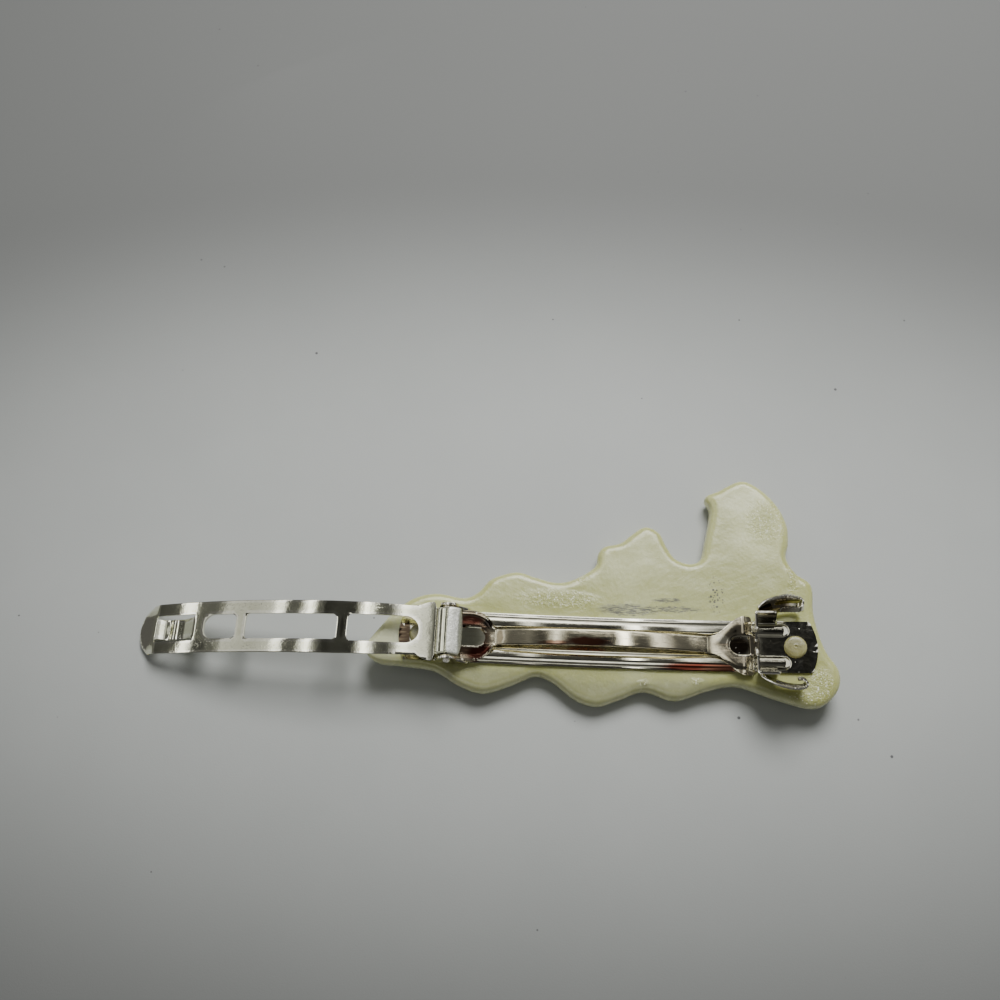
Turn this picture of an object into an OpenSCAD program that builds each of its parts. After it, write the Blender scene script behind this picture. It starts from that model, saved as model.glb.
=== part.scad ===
// French barrette, 80 mm clip size, lying on the front of its ornament with the arm swung open.
// X runs along the clip to the catch, Y across it, Z up from the surface it lies on.
// The origin is on that surface, under the middle of the base plate.

/* [Base plate] */
// Length of the base plate
plate_l = 80; // [70:1:90]
// Width of the base plate
plate_w = 10; // [9.6:0.1:10.4]
// Sheet thickness of the base plate
plate_t = 0.5; // [0.4:0.05:0.6]
// How far the plate's ends rise above its middle
plate_sag = 2.3; // [1.8:0.1:2.8]
// Radius of the rounded plate ends, in plan
plate_end_r = 10.3; // [8:0.1:14]
// Width of one long bead
bead_w = 2.4; // [2:0.1:2.6]
// Height of one long bead
bead_h = 0.55; // [0.3:0.05:0.6]
// Distance of a bead's centre line from the clip's centre line
bead_y = 3.15; // [2.9:0.05:3.4]

/* [Hinge] */
// Distance of the hinge pin from the plate's middle
pin_x = -30.36; // [-31:0.01:-30]
// Height of the hinge pin above the surface
pin_z = 8.78; // [8.7:0.01:9]
// Radius of the hinge pin's shaft
pin_r = 0.6; // [0.5:0.01:0.65]
// Outer radius of the arm's rolled barrel
barrel_r = 2.3; // [2.1:0.05:2.4]
// Inner face of a hinge ear, from the centre line
ear_y = 4.98; // [4.96:0.01:5.05]
// Sheet thickness of the ears
ear_t = 0.45; // [0.4:0.01:0.5]
// Radius of an ear's round top
ear_top_r = 1.85; // [1.8:0.05:1.9]

/* [Catch] */
// Distance of the catch ears from the plate's middle
catch_x = 30.5; // [30:0.1:31]
// Length of a catch ear along the clip
catch_l = 3.9; // [3.5:0.1:4.2]
// Height of a catch ear above the plate
catch_h = 3.8; // [3.6:0.1:4]
// Height of the shoulders of the cross jaws above the plate
jaw_h = 3.45; // [3.2:0.05:3.5]
// Height of the barbs at the inner ends of the jaws
barb_h = 4.4; // [4:0.1:4.6]
// Outward lean of the finger wings
wing_lean = 28; // [20:1:32]
// Height of a finger wing's leaf
wing_h = 4; // [3.4:0.1:4.4]

/* [Tension bar] */
// Width of the spring strip
strip_w = 3.15; // [2.8:0.05:3.5]
// Thickness of the spring strip
strip_t = 0.35; // [0.3:0.05:0.4]
// Height of the strip's crown above the plate
strip_crown = 3.6; // [3:0.1:3.8]
// Half width of the widened head
head_y = 5.75; // [5.3:0.05:5.8]

/* [Clasp arm] */
// Width of the arm's middle
arm_w = 10.2; // [9.8:0.1:10.4]
// Sheet thickness of the arm
arm_t = 0.5; // [0.4:0.05:0.5]
// Rise of the arm's arch above its chord
arm_rise = 3.4; // [3:0.1:3.5]
// Width of the windows between the arm's rails
window_w = 4.7; // [4.4:0.1:5]
// Width across the flared shoulders
flare_w = 11.5; // [11:0.1:11.8]
// Depth of the pressed tongue below the arm's rails
tongue_drop = 1.2; // [0.8:0.1:1.4]

/* [Ornament] */
// Thickness of the moulded ornament over its bowed part
body_t = 4.35; // [4.25:0.05:4.5]
// Radius over which its edges round off
edge_in = 1.5; // [1:0.1:1.6]
// Diameter of the melted stud heads
stud_d = 4.2; // [3.8:0.1:4.4]
// Distance of the studs from the plate's middle
stud_x = 35.9; // [35.5:0.1:36.3]

/* [Hidden] */

cream = [0.9, 0.86, 0.76];
nickel = [0.72, 0.73, 0.75];
bar_grey = [0.6, 0.6, 0.62];
arm_grey = [0.8, 0.81, 0.83];
pin_grey = [0.5, 0.5, 0.53];

// Clearance between the plate and the ornament's back
seat_gap = 0.03;
// Height of the yoke's and the head's undersides above the plate, resting on the beads
bar_lift = 0.62;
// Half width of the barrel, and of the bent end cap
barrel_y = 4.55;
cap_y = 4.9;
// Height of the plate's back at its middle; the ornament's flat spot lies on the surface
back_z = 4.6;
bow_r = (pow(plate_l / 2, 2) + pow(plate_sag, 2)) / (2 * plate_sag);
bow_z = back_z + bow_r;
fine = 1440;
round_fn = 48;

// Height of the plate's bowed back at x
function plate_z(x) = bow_z - sqrt(bow_r * bow_r - x * x);

// The arm's arc, from its hinge end to the fold of its end cap
arm_hinge = [-32.76, 9.1];
arm_fold = [-89.4, 2.75];
arm_tip = [-92.9, 0.31];
arm_chord = arm_fold - arm_hinge;
arm_chord_l = norm(arm_chord);
arm_dir = arm_chord / arm_chord_l;
arm_r = arm_chord_l * arm_chord_l / (8 * arm_rise) + arm_rise / 2;
arm_c = (arm_hinge + arm_fold) / 2 + [-arm_dir[1], arm_dir[0]] * (arm_r - arm_rise);
arm_a0 = atan2(arm_hinge[1] - arm_c[1], arm_hinge[0] - arm_c[0]);
arm_a1 = atan2(arm_fold[1] - arm_c[1], arm_fold[0] - arm_c[0]);

// Height of the arm's sheet at x
function arm_z(x) = arm_c[1] + sqrt(arm_r * arm_r - pow(x - arm_c[0], 2));

function arm_at(x) = [x, arm_z(x)];

// Control points of the ornament's outline, clockwise from its left tip
outline = [
    [-46.4, -3], [-44.2, 1], [-40.5, 5.5], [-37, 7.9], [-33, 8.8], [-28, 8.2],
    [-25.2, 9.6], [-22.7, 12.4], [-17.9, 14.1], [-14, 13.2], [-10, 12.3], [-6.5, 13],
    [-2.2, 15.8], [-1.5, 18.6], [-0.2, 20.2], [3, 21.1], [5.2, 22.9], [8, 24.7],
    [10.8, 23.5], [12.3, 20.5], [14, 18], [16.8, 17], [19, 18.1], [20, 22],
    [21.2, 28.3], [20.3, 31.3], [23, 32.8], [27.5, 35], [31, 33.5], [34.3, 29.9],
    [36.2, 25.5], [36.3, 21.5], [35.7, 18.2], [37.4, 15.1], [40.1, 12.6], [40.1, 7.5],
    [40.7, 3.5], [41.9, -0.5], [43.9, -4], [43.8, -7.2], [41.7, -10], [38.5, -11.2],
    [32, -9.5], [25, -7.3], [19.5, -8.3], [13.4, -10.3], [7.4, -8.8], [2.5, -10.6],
    [-1.7, -11.9], [-5.7, -10.8], [-10, -7.7], [-13.5, -6.6], [-18, -8.5], [-23.5, -10.3],
    [-28.5, -8.9], [-33, -6.5], [-39, -5.9], [-44, -5.5]
];
spline_steps = 2;

// A point on a closed curve through the points p, at step t of the span after point i
function spline(p, i, t) =
    let(n = len(p), a = p[(i + n - 1) % n], b = p[i], c = p[(i + 1) % n], d = p[(i + 2) % n])
    b + t * (c - a) / 2 + t * t * (a - 2.5 * b + 2 * c - d / 2)
    + t * t * t * ((b - c) * 1.5 + (d - a) / 2);

rim = [for (i = [0:len(outline) - 1]) for (k = [0:spline_steps - 1]) spline(outline, i, k / spline_steps)];
rim_n = len(rim);

// Inward direction at rim point i, smoothed over its neighbours
function unit(v) = v / norm(v);
function inward(i) =
    let(v = unit(rim[(i + 2) % rim_n] - rim[(i + rim_n - 2) % rim_n]))
    [v[1], -v[0]];

// Inset and height of each ring of the rounded edge, from the front to the back
edge = [
    [edge_in, -6], [edge_in, -0.05], [0.75, 0.3], [0.25, 0.95], [0, 1.8],
    [0.05, 2.6], [0.35, 3.5], [0.85, 4.1], [edge_in, body_t + 0.05], [edge_in, body_t + 6]
];

// The plate's frame at arc position x: Z is normal to its back
module on_plate(x) {
    translate([0, 0, bow_z])
        rotate([0, -asin(x / bow_r), 0])
            translate([0, 0, -bow_r])
                children();
}

// Sweeps a profile along the plate's bow; its x is the depth below the plate's back
module along_bow(x0, x1) {
    a0 = asin(x0 / bow_r);
    a1 = asin(x1 / bow_r);
    translate([0, 0, bow_z])
        rotate([90, 0, 0])
            rotate([0, 0, a0 - 90])
                rotate_extrude(angle = a1 - a0, $fn = fine)
                    translate([bow_r, 0])
                        children();
}

// Window with corner radii ra at its left end and rb at its right end
module window(x0, x1, w, ra, rb) {
    translate([x0 + ra, -w / 2])
        square([x1 - x0 - ra - rb, w]);
    for (side = [-1, 1]) {
        translate([x0 + ra, side * (w / 2 - ra)])
            circle(r = ra, $fn = round_fn);
        translate([x1 - rb, side * (w / 2 - rb)])
            circle(r = rb, $fn = round_fn);
    }
    if (w > 2 * ra)
        translate([x0, ra - w / 2])
            square([ra, w - 2 * ra]);
    if (w > 2 * rb)
        translate([x1 - rb, rb - w / 2])
            square([rb, w - 2 * rb]);
}

// Side normal of a path at its point i, lengthened for the mitre
function mitre(path, i) =
    let(n = len(path) - 1, u = unit(path[min(i + 1, n)] - path[min(i, n - 1)]),
        v = unit(path[max(i, 1)] - path[max(i - 1, 0)]), m = unit([-u[1] - v[1], u[0] + v[0]]))
    m / (m * [-u[1], u[0]]);

// A folded run of sheet along a path in the XZ plane, w wide and t thick
module folded_sheet(path, w, t) {
    n = len(path) - 1;
    translate([0, w / 2, 0])
        rotate([90, 0, 0])
            linear_extrude(w)
                polygon([for (i = [0:n]) path[i] + mitre(path, i) * t / 2,
                    for (i = [n:-1:0]) path[i] - mitre(path, i) * t / 2]);
}

// A disc across the clip, centred on the hinge pin
module pin_disc(r, y0, y1) {
    translate([pin_x, y1, pin_z])
        rotate([90, 0, 0])
            cylinder(r = r, h = y1 - y0, $fn = round_fn);
}

module rounded_body() {
    points = [
        for (e = edge) for (i = [0:rim_n - 1])
            let(q = rim[i] + e[0] * inward(i), flat = abs(e[1]) > 5)
            [q[0], q[1], (flat ? e[1] : e[1] + plate_z(q[0]) - back_z) + back_z - plate_t - body_t]
    ];
    sides = [
        for (k = [0:len(edge) - 2]) for (i = [0:rim_n - 1])
            let(a = k * rim_n, b = a + rim_n, j = (i + 1) % rim_n)
            each [[a + i, b + i, b + j], [a + i, b + j, a + j]]
    ];
    bottom = [[for (i = [0:rim_n - 1]) i]];
    top = [[for (i = [rim_n - 1:-1:0]) (len(edge) - 1) * rim_n + i]];
    polyhedron(points = points, faces = concat(bottom, sides, top), convexity = 10);
}

// One moulded stud: its shank through the plate and its melted, flat and dimpled head
module stud(x) {
    shank_d = 2.8;
    head_r = stud_d / 2;
    head_h = 0.62;
    rim_in = 0.25;
    dimple_r = 0.4;
    on_plate(x) {
        translate([0, 0, -plate_t - 1])
            cylinder(d = shank_d, h = plate_t + 1.1, $fn = round_fn);
        translate([0, 0, 0.02])
            rotate_extrude($fn = round_fn)
                difference() {
                    polygon([[0, 0], [head_r, 0], [head_r, head_h - rim_in], [head_r - rim_in, head_h - 0.05],
                        [head_r - 3 * rim_in, head_h], [0, head_h]]);
                    translate([0, head_h + dimple_r / 2])
                        circle(r = dimple_r, $fn = round_fn);
                }
    }
}

// Cream moulded front: a wavy plate with rounded edges, bowed with the clip
module ornament() {
    color(cream) {
        intersection() {
            rounded_body();
            along_bow(-60, 60)
                translate([plate_t + seat_gap, -50])
                    square([body_t, 100]);
            translate([-100, -50, 0])
                cube([200, 100, 30]);
        }
        for (side = [-1, 1])
            stud(side * stud_x);
    }
}

// Plan of the plate: a strip with rounded ends
module plate_plan() {
    end_c = plate_l / 2 - plate_end_r;
    translate([-end_c, -plate_w / 2])
        square([2 * end_c, plate_w]);
    for (side = [-1, 1])
        intersection() {
            translate([side * end_c, 0])
                circle(r = plate_end_r, $fn = 180);
            translate([side * plate_l / 4, 0])
                square([plate_l / 2, plate_w], center = true);
        }
}

// Half-round bead pressed up along the plate, with rounded ends
module bead(y) {
    bead_r = (pow(bead_w / 2, 2) + bead_h * bead_h) / (2 * bead_h);
    x0 = -26.5;
    x1 = 33.6;
    translate([0, -y, 0])
        along_bow(x0, x1)
            intersection() {
                translate([bead_r - bead_h, 0])
                    circle(r = bead_r, $fn = 96);
                translate([-1, -2])
                    square([1 + plate_t / 2, 4]);
            }
    for (x = [x0, x1])
        on_plate(x)
            intersection() {
                translate([0, -y, bead_h - bead_r])
                    sphere(r = bead_r, $fn = 96);
                translate([-2, -y - 2, -plate_t / 2])
                    cube([4, 4, 2]);
            }
}

// One hinge ear, rising from the plate's edge to a round top about the pin
module hinge_ear(side) {
    ear_x0 = -2.1;
    ear_x1 = 3.9;
    ear_foot_h = 1.1;
    root_t = 0.38;
    root_w = ear_y + ear_t - plate_w / 2 + 0.6;
    // Height from the pin down to the middle of the plate's sheet, at x from the pin
    function foot(x) = plate_z(pin_x + x) - plate_t + 0.1 - pin_z;
    translate([pin_x, side * (ear_y + ear_t / 2) + ear_t / 2, pin_z])
        rotate([90, 0, 0])
            linear_extrude(ear_t) {
                circle(r = ear_top_r, $fn = round_fn);
                polygon([[ear_x0, foot(ear_x0)], [ear_x1, foot(ear_x1)], [ear_x1, foot(ear_x1) + ear_foot_h],
                    [1.75, -0.4], [-1.75, -0.4], [ear_x0, foot(ear_x0) + ear_foot_h]]);
            }
    // bend that joins the ear to the plate
    translate([pin_x, side > 0 ? ear_y + ear_t : root_w - ear_y - ear_t, pin_z])
        rotate([90, 0, 0])
            linear_extrude(root_w)
                polygon([[ear_x0, foot(ear_x0)], [ear_x1, foot(ear_x1)], [ear_x1, foot(ear_x1) + root_t],
                    [ear_x0, foot(ear_x0) + root_t]]);
}

// Catch ear with its cross jaw and finger wing, on the +Y side
module catch_side() {
    lean = 0.27;
    catch_ear_t = 0.45;
    jaw_t = 0.5;
    jaw_foot_h = 1.1;
    top_y = plate_w / 2 + lean * catch_h;
    // The wing's foot, where its rounded end starts, and that end's middle height and radius
    wing_foot = [0, 5.15, 0.85];
    wing_end_x = 4.9;
    wing_end_h = 2.75;
    wing_end_r = 3;
    on_plate(catch_x) {
        // ear
        translate([-catch_l / 2, 0, 0])
            rotate([90, 0, 90])
                linear_extrude(catch_l)
                    polygon([[4.5, 0.1 - plate_t], [5, 0.1 - plate_t], [5.08, 0.2], [top_y, catch_h],
                        [top_y - catch_ear_t, catch_h], [4.62, 0.2], [4.5, 0]]);
        // cross jaw with its barb
        translate([-catch_l / 2 - jaw_t, 0, 0])
            rotate([90, 0, 90])
                linear_extrude(jaw_t)
                    polygon([[2.1, jaw_foot_h], [5.31, jaw_foot_h], [top_y - 0.06, jaw_h + 0.15],
                        [top_y - 0.5, jaw_h + 0.15], [5.1, jaw_h], [3.1, jaw_h], [2.75, jaw_h + 0.2],
                        [2.6, barb_h], [2.15, barb_h]]);
        translate([-catch_l / 2 - 0.05, 5.0, jaw_foot_h])
            rotate([-atan(lean), 0, 0])
                translate([0, 0.06, 0])
                    cube([0.3, 0.4, catch_h - 1.2]);
        // finger wing
        intersection() {
            translate(wing_foot)
                rotate([-wing_lean, 0, 0])
                    linear_extrude(wing_h)
                        wing_plan();
            union() {
                translate([-2, 0, 0])
                    cube([wing_end_x + 2, 12, 8]);
                translate([wing_end_x, 12, wing_end_h])
                    rotate([90, 0, 0])
                        cylinder(r = wing_end_r, h = 12, $fn = 72);
            }
        }
    }
}

// Curved band of the wing, seen along its lean: an arc outward, then a curl back in
module wing_plan() {
    wing_t = 0.45;
    bend_r = 9.5;
    apex = [5, 2.6];
    curl_r = 1.25;
    curl = apex + [0.45, -curl_r];
    difference() {
        intersection() {
            translate([apex[0], apex[1] - bend_r])
                circle(r = bend_r, $fn = 180);
            translate([-1.6, -1])
                square([curl[0] + 1.6, 5]);
        }
        translate([apex[0], apex[1] - bend_r])
            circle(r = bend_r - wing_t, $fn = 180);
    }
    difference() {
        translate(curl)
            circle(r = curl_r, $fn = round_fn);
        translate(curl)
            circle(r = curl_r - wing_t, $fn = round_fn);
        translate(curl - [1.5, 1.5])
            square([1.5, 3]);
    }
}

// Plated steel stamping: bowed plate, beads, hinge ears, catch ears, jaws and wings
module base_plate() {
    color(nickel) {
        difference() {
            union() {
                intersection() {
                    along_bow(-42, 42)
                        translate([0, -6])
                            square([plate_t, 12]);
                    linear_extrude(20)
                        plate_plan();
                }
                for (side = [-1, 1])
                    bead(side * bead_y);
            }
            for (side = [-1, 1])
                on_plate(side * stud_x)
                    translate([0, 0, -2])
                        cylinder(d = 2.9, h = 4, $fn = round_fn);
        }
        difference() {
            for (side = [-1, 1])
                hinge_ear(side);
            pin_disc(pin_r + 0.02, -8, 8);
        }
        catch_side();
        mirror([0, 1, 0])
            catch_side();
    }
}

// Horseshoe yoke: flat ring with an upturned rim, and its two lugs on the pin
module yoke() {
    nose_r = 4.9;
    rim_t = 0.35;
    rim_h = 0.95;
    lug_y = 4.765;
    lug_t = 0.31;
    lug_r = 1.3;
    on_plate(-25) {
        translate([0, 0, bar_lift])
            linear_extrude(strip_t)
                difference() {
                    union() {
                        translate([-1.2, 0])
                            circle(r = nose_r, $fn = 96);
                        translate([-3.1, -nose_r])
                            square([2, 2 * nose_r]);
                    }
                    translate([-8, -8])
                        square([4.9, 16]);
                    window(-4.5, 1.7, 4, 0.3, 1.9);
                }
        // rim along the nose
        translate([0, 0, bar_lift])
            linear_extrude(rim_h)
                difference() {
                    translate([-1.2, 0])
                        circle(r = nose_r, $fn = 96);
                    translate([-1.2, 0])
                        circle(r = nose_r - rim_t, $fn = 96);
                    translate([-8, -8])
                        square([6.8, 16]);
                    translate([0, -1.3])
                        square([8, 2.6]);
                }
    }
    difference() {
        for (side = [-1, 1])
            translate([pin_x, side * lug_y + lug_t / 2, pin_z])
                rotate([90, 0, 0])
                    linear_extrude(lug_t) {
                        circle(r = lug_r, $fn = round_fn);
                        polygon([[-0.2, -1.2], [1.25, 0.2], [3.1, -1.7], [4.2, -1.75], [4.2, -2.55],
                            [2.35, -2.35], [2.1, -1.7]]);
                    }
        pin_disc(pin_r + 0.06, -8, 8);
    }
}

// Widened head with its window and lip, lying over the plate's beads
module bar_head() {
    on_plate(24)
        translate([0, 0, bar_lift])
            linear_extrude(strip_t)
                difference() {
                    polygon([[-6, -strip_w / 2], [-3.4, -strip_w / 2 - 0.1], [-1.6, -3], [0.4, -4.6],
                        [2, -head_y], [3.3, -head_y], [3.65, -5.2], [3.65, -1.8], [5.1, -1.8], [5.1, 1.8],
                        [3.65, 1.8], [3.65, 5.2], [3.3, head_y], [2, head_y], [0.4, 4.6], [-1.6, 3],
                        [-3.4, strip_w / 2 + 0.1], [-6, strip_w / 2]]);
                    window(-0.6, 3.2, 3.8, 1.85, 0.3);
                }
}

// Thin spring strip arched over the plate, with its yoke and head
module tension_bar() {
    strip_x0 = -21.6;
    strip_x1 = 19;
    foot_z = plate_z(strip_x0) + bar_lift + strip_t / 2;
    mid = (strip_x0 + strip_x1) / 2;
    half = (strip_x1 - strip_x0) / 2;
    rise = back_z + strip_crown - foot_z;
    r = (half * half + rise * rise) / (2 * rise);
    a = asin(half / r);
    color(bar_grey) {
        translate([mid, 0, foot_z + rise - r])
            rotate([90, 0, 0])
                rotate([0, 0, 90 - a])
                    rotate_extrude(angle = 2 * a, $fn = fine)
                        translate([r - strip_t / 2, -strip_w / 2])
                            square([strip_t, strip_w]);
        yoke();
        bar_head();
    }
}

// Plan of the arm, with flared shoulders at the hinge
module arm_plan() {
    neck = 4.75;
    half = arm_w / 2;
    flare = flare_w / 2;
    polygon([
        [arm_fold[0] - 0.01, -4.95], [-84, -5], [-70, -half], [-52, -half], [-41, -4.88], [-37.2, -neck],
        [-36.2, -4.85], [-35, -5.3], [-33.9, -5.68], [-33.2, -flare], [-32.85, -flare + 0.1],
        [arm_hinge[0], -flare + 0.4], [arm_hinge[0], flare - 0.4], [-32.85, flare - 0.1], [-33.2, flare],
        [-33.9, 5.68], [-35, 5.3], [-36.2, 4.85], [-37.2, neck], [-41, 4.88], [-52, half], [-70, half],
        [-84, 5], [arm_fold[0] - 0.01, 4.95]
    ]);
}

// Arched and windowed arm with its barrel, pressed tongue and bent end cap
module clasp_arm() {
    slot_x0 = -89.2;
    slot_x1 = -80.8;
    tongue_w = 3.9;
    slot_w = 5.5;
    cap_r = 5.8;
    cheek_t = 0.5;
    drop = [0, tongue_drop];
    color(arm_grey) {
        // arched sheet
        intersection() {
            translate([arm_c[0], 0, arm_c[1]])
                rotate([90, 0, 0])
                    rotate([0, 0, arm_a0])
                        rotate_extrude(angle = arm_a1 - arm_a0, $fn = fine)
                            translate([arm_r - arm_t / 2, -6])
                                square([arm_t, 12]);
            linear_extrude(20)
                difference() {
                    arm_plan();
                    window(-50.35, -36.35, window_w, 0.8, window_w / 2);
                    window(-70.45, -51.85, window_w, 0.9, 0.9);
                    window(-79.2, -72, window_w, 1.9, 0.9);
                    translate([slot_x0, -slot_w / 2])
                        square([slot_x1 - slot_x0, slot_w]);
                }
        }
        // pressed tongue between the slots
        folded_sheet([arm_at(slot_x1 + 0.5), arm_at(slot_x1 + 0.1), arm_at(-83) - drop, arm_at(-86.2) - drop,
            arm_fold + [-0.1, 0.05], arm_fold + [-0.6, -0.37]], tongue_w, arm_t - 0.02);
        // end cap
        intersection() {
            folded_sheet([arm_at(arm_fold[0] + 0.4), arm_fold, arm_tip], 11, arm_t - 0.04);
            linear_extrude(20)
                intersection() {
                    translate([arm_tip[0] + cap_r, 0])
                        circle(r = cap_r, $fn = 120);
                    translate([arm_tip[0] - 1, -cap_y])
                        square([8, 2 * cap_y]);
                }
        }
        // barrel around the pin, with its two cheeks
        folded_sheet([arm_hinge + [-0.2, -0.03], arm_hinge + [0.45, 0.02]], 2 * barrel_y, arm_t - 0.04);
        translate([pin_x, barrel_y, pin_z])
            rotate([90, 0, 0])
                linear_extrude(2 * barrel_y)
                    difference() {
                        circle(r = barrel_r, $fn = 96);
                        circle(r = barrel_r - arm_t, $fn = 96);
                        polygon([[0, 0], [-6, 0.2], [-6, -6], [6, -6], [6, -2.6]]);
                    }
        difference() {
            for (y0 = [-barrel_y, barrel_y - cheek_t])
                pin_disc(barrel_r, y0, y0 + cheek_t);
            pin_disc(pin_r + 0.06, -8, 8);
        }
    }
}

// Rivet through the ears, the yoke's lugs and the barrel's cheeks
module hinge_pin() {
    head_y0 = ear_y + ear_t + 0.01;
    head_r = 0.75;
    head_t = 0.45;
    color(pin_grey) {
        pin_disc(pin_r, -head_y0 - 0.1, head_y0 + 0.1);
        pin_disc(head_r, head_y0, head_y0 + head_t);
        pin_disc(head_r, -head_y0 - head_t, -head_y0);
    }
}

ornament();
base_plate();
tension_bar();
clasp_arm();
hinge_pin();
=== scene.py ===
"""A French barrette lying on the front of its cream ornament, with its plated arm swung open."""
from bisect import bisect
from math import asin, ceil, copysign, cos, degrees, exp, hypot, pi, radians, sin, sqrt, tan

import bmesh
import bpy
from mathutils import Matrix, Vector, noise
from mathutils.geometry import delaunay_2d_cdt, tessellate_polygon
from mathutils.kdtree import KDTree


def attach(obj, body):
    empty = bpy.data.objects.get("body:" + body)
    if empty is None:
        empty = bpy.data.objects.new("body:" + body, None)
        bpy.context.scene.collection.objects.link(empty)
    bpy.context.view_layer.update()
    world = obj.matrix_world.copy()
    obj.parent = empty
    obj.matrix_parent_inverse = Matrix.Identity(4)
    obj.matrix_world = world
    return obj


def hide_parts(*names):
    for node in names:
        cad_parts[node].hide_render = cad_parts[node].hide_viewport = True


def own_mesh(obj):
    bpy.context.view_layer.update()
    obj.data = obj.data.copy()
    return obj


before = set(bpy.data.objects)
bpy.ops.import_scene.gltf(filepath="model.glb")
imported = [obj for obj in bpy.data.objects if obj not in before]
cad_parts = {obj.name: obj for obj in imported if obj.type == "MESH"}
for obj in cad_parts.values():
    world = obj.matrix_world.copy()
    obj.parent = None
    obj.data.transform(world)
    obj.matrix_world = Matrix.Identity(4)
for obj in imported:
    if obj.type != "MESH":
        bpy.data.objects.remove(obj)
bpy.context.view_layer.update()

# Camera
# It looks down from the barrette's near side, turned a little clockwise, as the photograph was taken.
# Its place and its turns, in degrees, were fitted to points of the clip. All sizes here are in mm.
mm = 0.001
camera_turns = ((5.81, "Z"), (21.873, "X"), (-3.705, "Z"))
camera_place = Vector((-13.98, -46.94, 195.03)) * mm
camera_data = bpy.data.cameras.new("camera")
camera_data.lens = 36
camera_data.sensor_width = 36
camera_data.clip_start = 5 * mm
camera = bpy.data.objects.new("camera", camera_data)
camera_view = Matrix.Translation(camera_place)
for turn, axis in camera_turns:
    camera_view = camera_view @ Matrix.Rotation(radians(turn), 4, axis)
camera.matrix_world = camera_view
bpy.context.scene.collection.objects.link(camera)
bpy.context.scene.camera = camera


# Floor
# A plain sheet of pale grey card, large enough to fill any view, on which the ornament lies. It is matt,
# with fine fibres and a little dust. Its colour is painted darker away from the barrette: a painted falloff
# of light.
def flat_card(name, centre, size_x, size_y):
    """A flat rectangle that belongs to the studio and not to the barrette."""
    mesh = bpy.data.meshes.new(name)
    x, y = size_x / 2 * mm, size_y / 2 * mm
    mesh.from_pydata([(-x, -y, 0), (x, -y, 0), (x, y, 0), (-x, y, 0)], [], [(0, 1, 2, 3)])
    card = bpy.data.objects.new(name, mesh)
    card.location = Vector(centre) * mm
    bpy.context.scene.collection.objects.link(card)
    return card


def new_material(name):
    """A node material and its Principled shader."""
    material = bpy.data.materials.new(name)
    material.use_nodes = True
    return material, material.node_tree.nodes["Principled BSDF"]


class Wire:
    """A node's output. A sum or product with it makes a Math node in its tree, and is a wire too."""

    def __init__(self, output):
        self.output = output
        self.tree = output.id_data

    def __add__(self, other):
        return calc("ADD", self, other)

    def __sub__(self, other):
        return calc("SUBTRACT", self, other)

    def __rsub__(self, other):
        return calc("SUBTRACT", other, self)

    def __mul__(self, other):
        return calc("MULTIPLY", self, other)

    def __truediv__(self, other):
        return calc("DIVIDE", self, other)

    def __rtruediv__(self, other):
        return calc("DIVIDE", other, self)


def give(socket, value):
    """Gives an input a number, a colour, a vector or a wire."""
    if isinstance(value, Wire):
        value.tree.links.new(value.output, socket)
    else:
        socket.default_value = (*value, 1) if socket.type == "RGBA" else value


def set_inputs(node, **values):
    """Gives a node's inputs their values by name."""
    for key, value in values.items():
        give(node.inputs[key.replace("_", " ")], value)


def add_node(tree, kind, **settings):
    """A node of the tree: names with capitals are its inputs, the others its own settings."""
    node = tree.nodes.new("ShaderNode" + kind)
    for key, value in settings.items():
        if key[0].islower():
            setattr(node, key, value)
    set_inputs(node, **{key: value for key, value in settings.items() if key[0].isupper()})
    return node


def result_of(tree, kind, output=0, **settings):
    """One output of a new node."""
    return Wire(add_node(tree, kind, **settings).outputs[output])


def split(kind, value):
    """The three parts of a vector or a colour."""
    node = add_node(value.tree, kind)
    give(node.inputs[0], value)
    return [Wire(output) for output in node.outputs]


def calc(operation, *values, clamp=False):
    """A Math node's result, of numbers and at least one wire."""
    tree = next(value.tree for value in values if isinstance(value, Wire))
    node = add_node(tree, "Math", operation=operation, use_clamp=clamp)
    for socket, value in zip(node.inputs, values):
        give(socket, value)
    return Wire(node.outputs[0])


def tint(share, base, colour):
    """The base colour with another laid over it where the share is high."""
    node = add_node(share.tree, "Mix", data_type="RGBA", Factor=share)
    give(node.inputs[6], base)
    give(node.inputs[7], colour)
    return Wire(node.outputs[2])


def part_place(shader):
    """Where a point of the shader's surface lies on the barrette, in mm."""
    place = result_of(shader.id_data, "TexCoord", "Object")
    return result_of(place.tree, "VectorMath", operation="SCALE", Vector=place, Scale=1 / mm)


def effect(name, **values):
    """A node group that makes a mask from a place: its tree, its inputs by name and its output node."""
    tree = bpy.data.node_groups.new(name, "ShaderNodeTree")
    tree.interface.new_socket("Place", in_out="INPUT", socket_type="NodeSocketVector")
    for key, value in values.items():
        socket = tree.interface.new_socket(key, in_out="INPUT", socket_type="NodeSocketFloat")
        socket.default_value = value
    tree.interface.new_socket("Mask", in_out="OUTPUT", socket_type="NodeSocketFloat")
    given = tree.nodes.new("NodeGroupInput").outputs
    return tree, {key: Wire(given[key]) for key in ("Place", *values)}, tree.nodes.new("NodeGroupOutput")


def use(group, place, **values):
    """Sets an effect in a material, at a place and with its own values, and gives its mask."""
    node = place.tree.nodes.new("ShaderNodeGroup")
    node.node_tree = group
    set_inputs(node, Place=place, **values)
    return Wire(node.outputs["Mask"])


# Soft unevenness: a cloudy pattern of a given size, from 0 to 1.
clouds, given, result = effect("clouds", Size=5.0, Contrast=1.0)
pattern = result_of(clouds, "TexNoise", Vector=given["Place"], Scale=1 / given["Size"],
                    Detail=4, Roughness=0.6)
set_inputs(result, Mask=calc("MULTIPLY_ADD", pattern - 0.5, given["Contrast"], 0.5, clamp=True))

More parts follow.
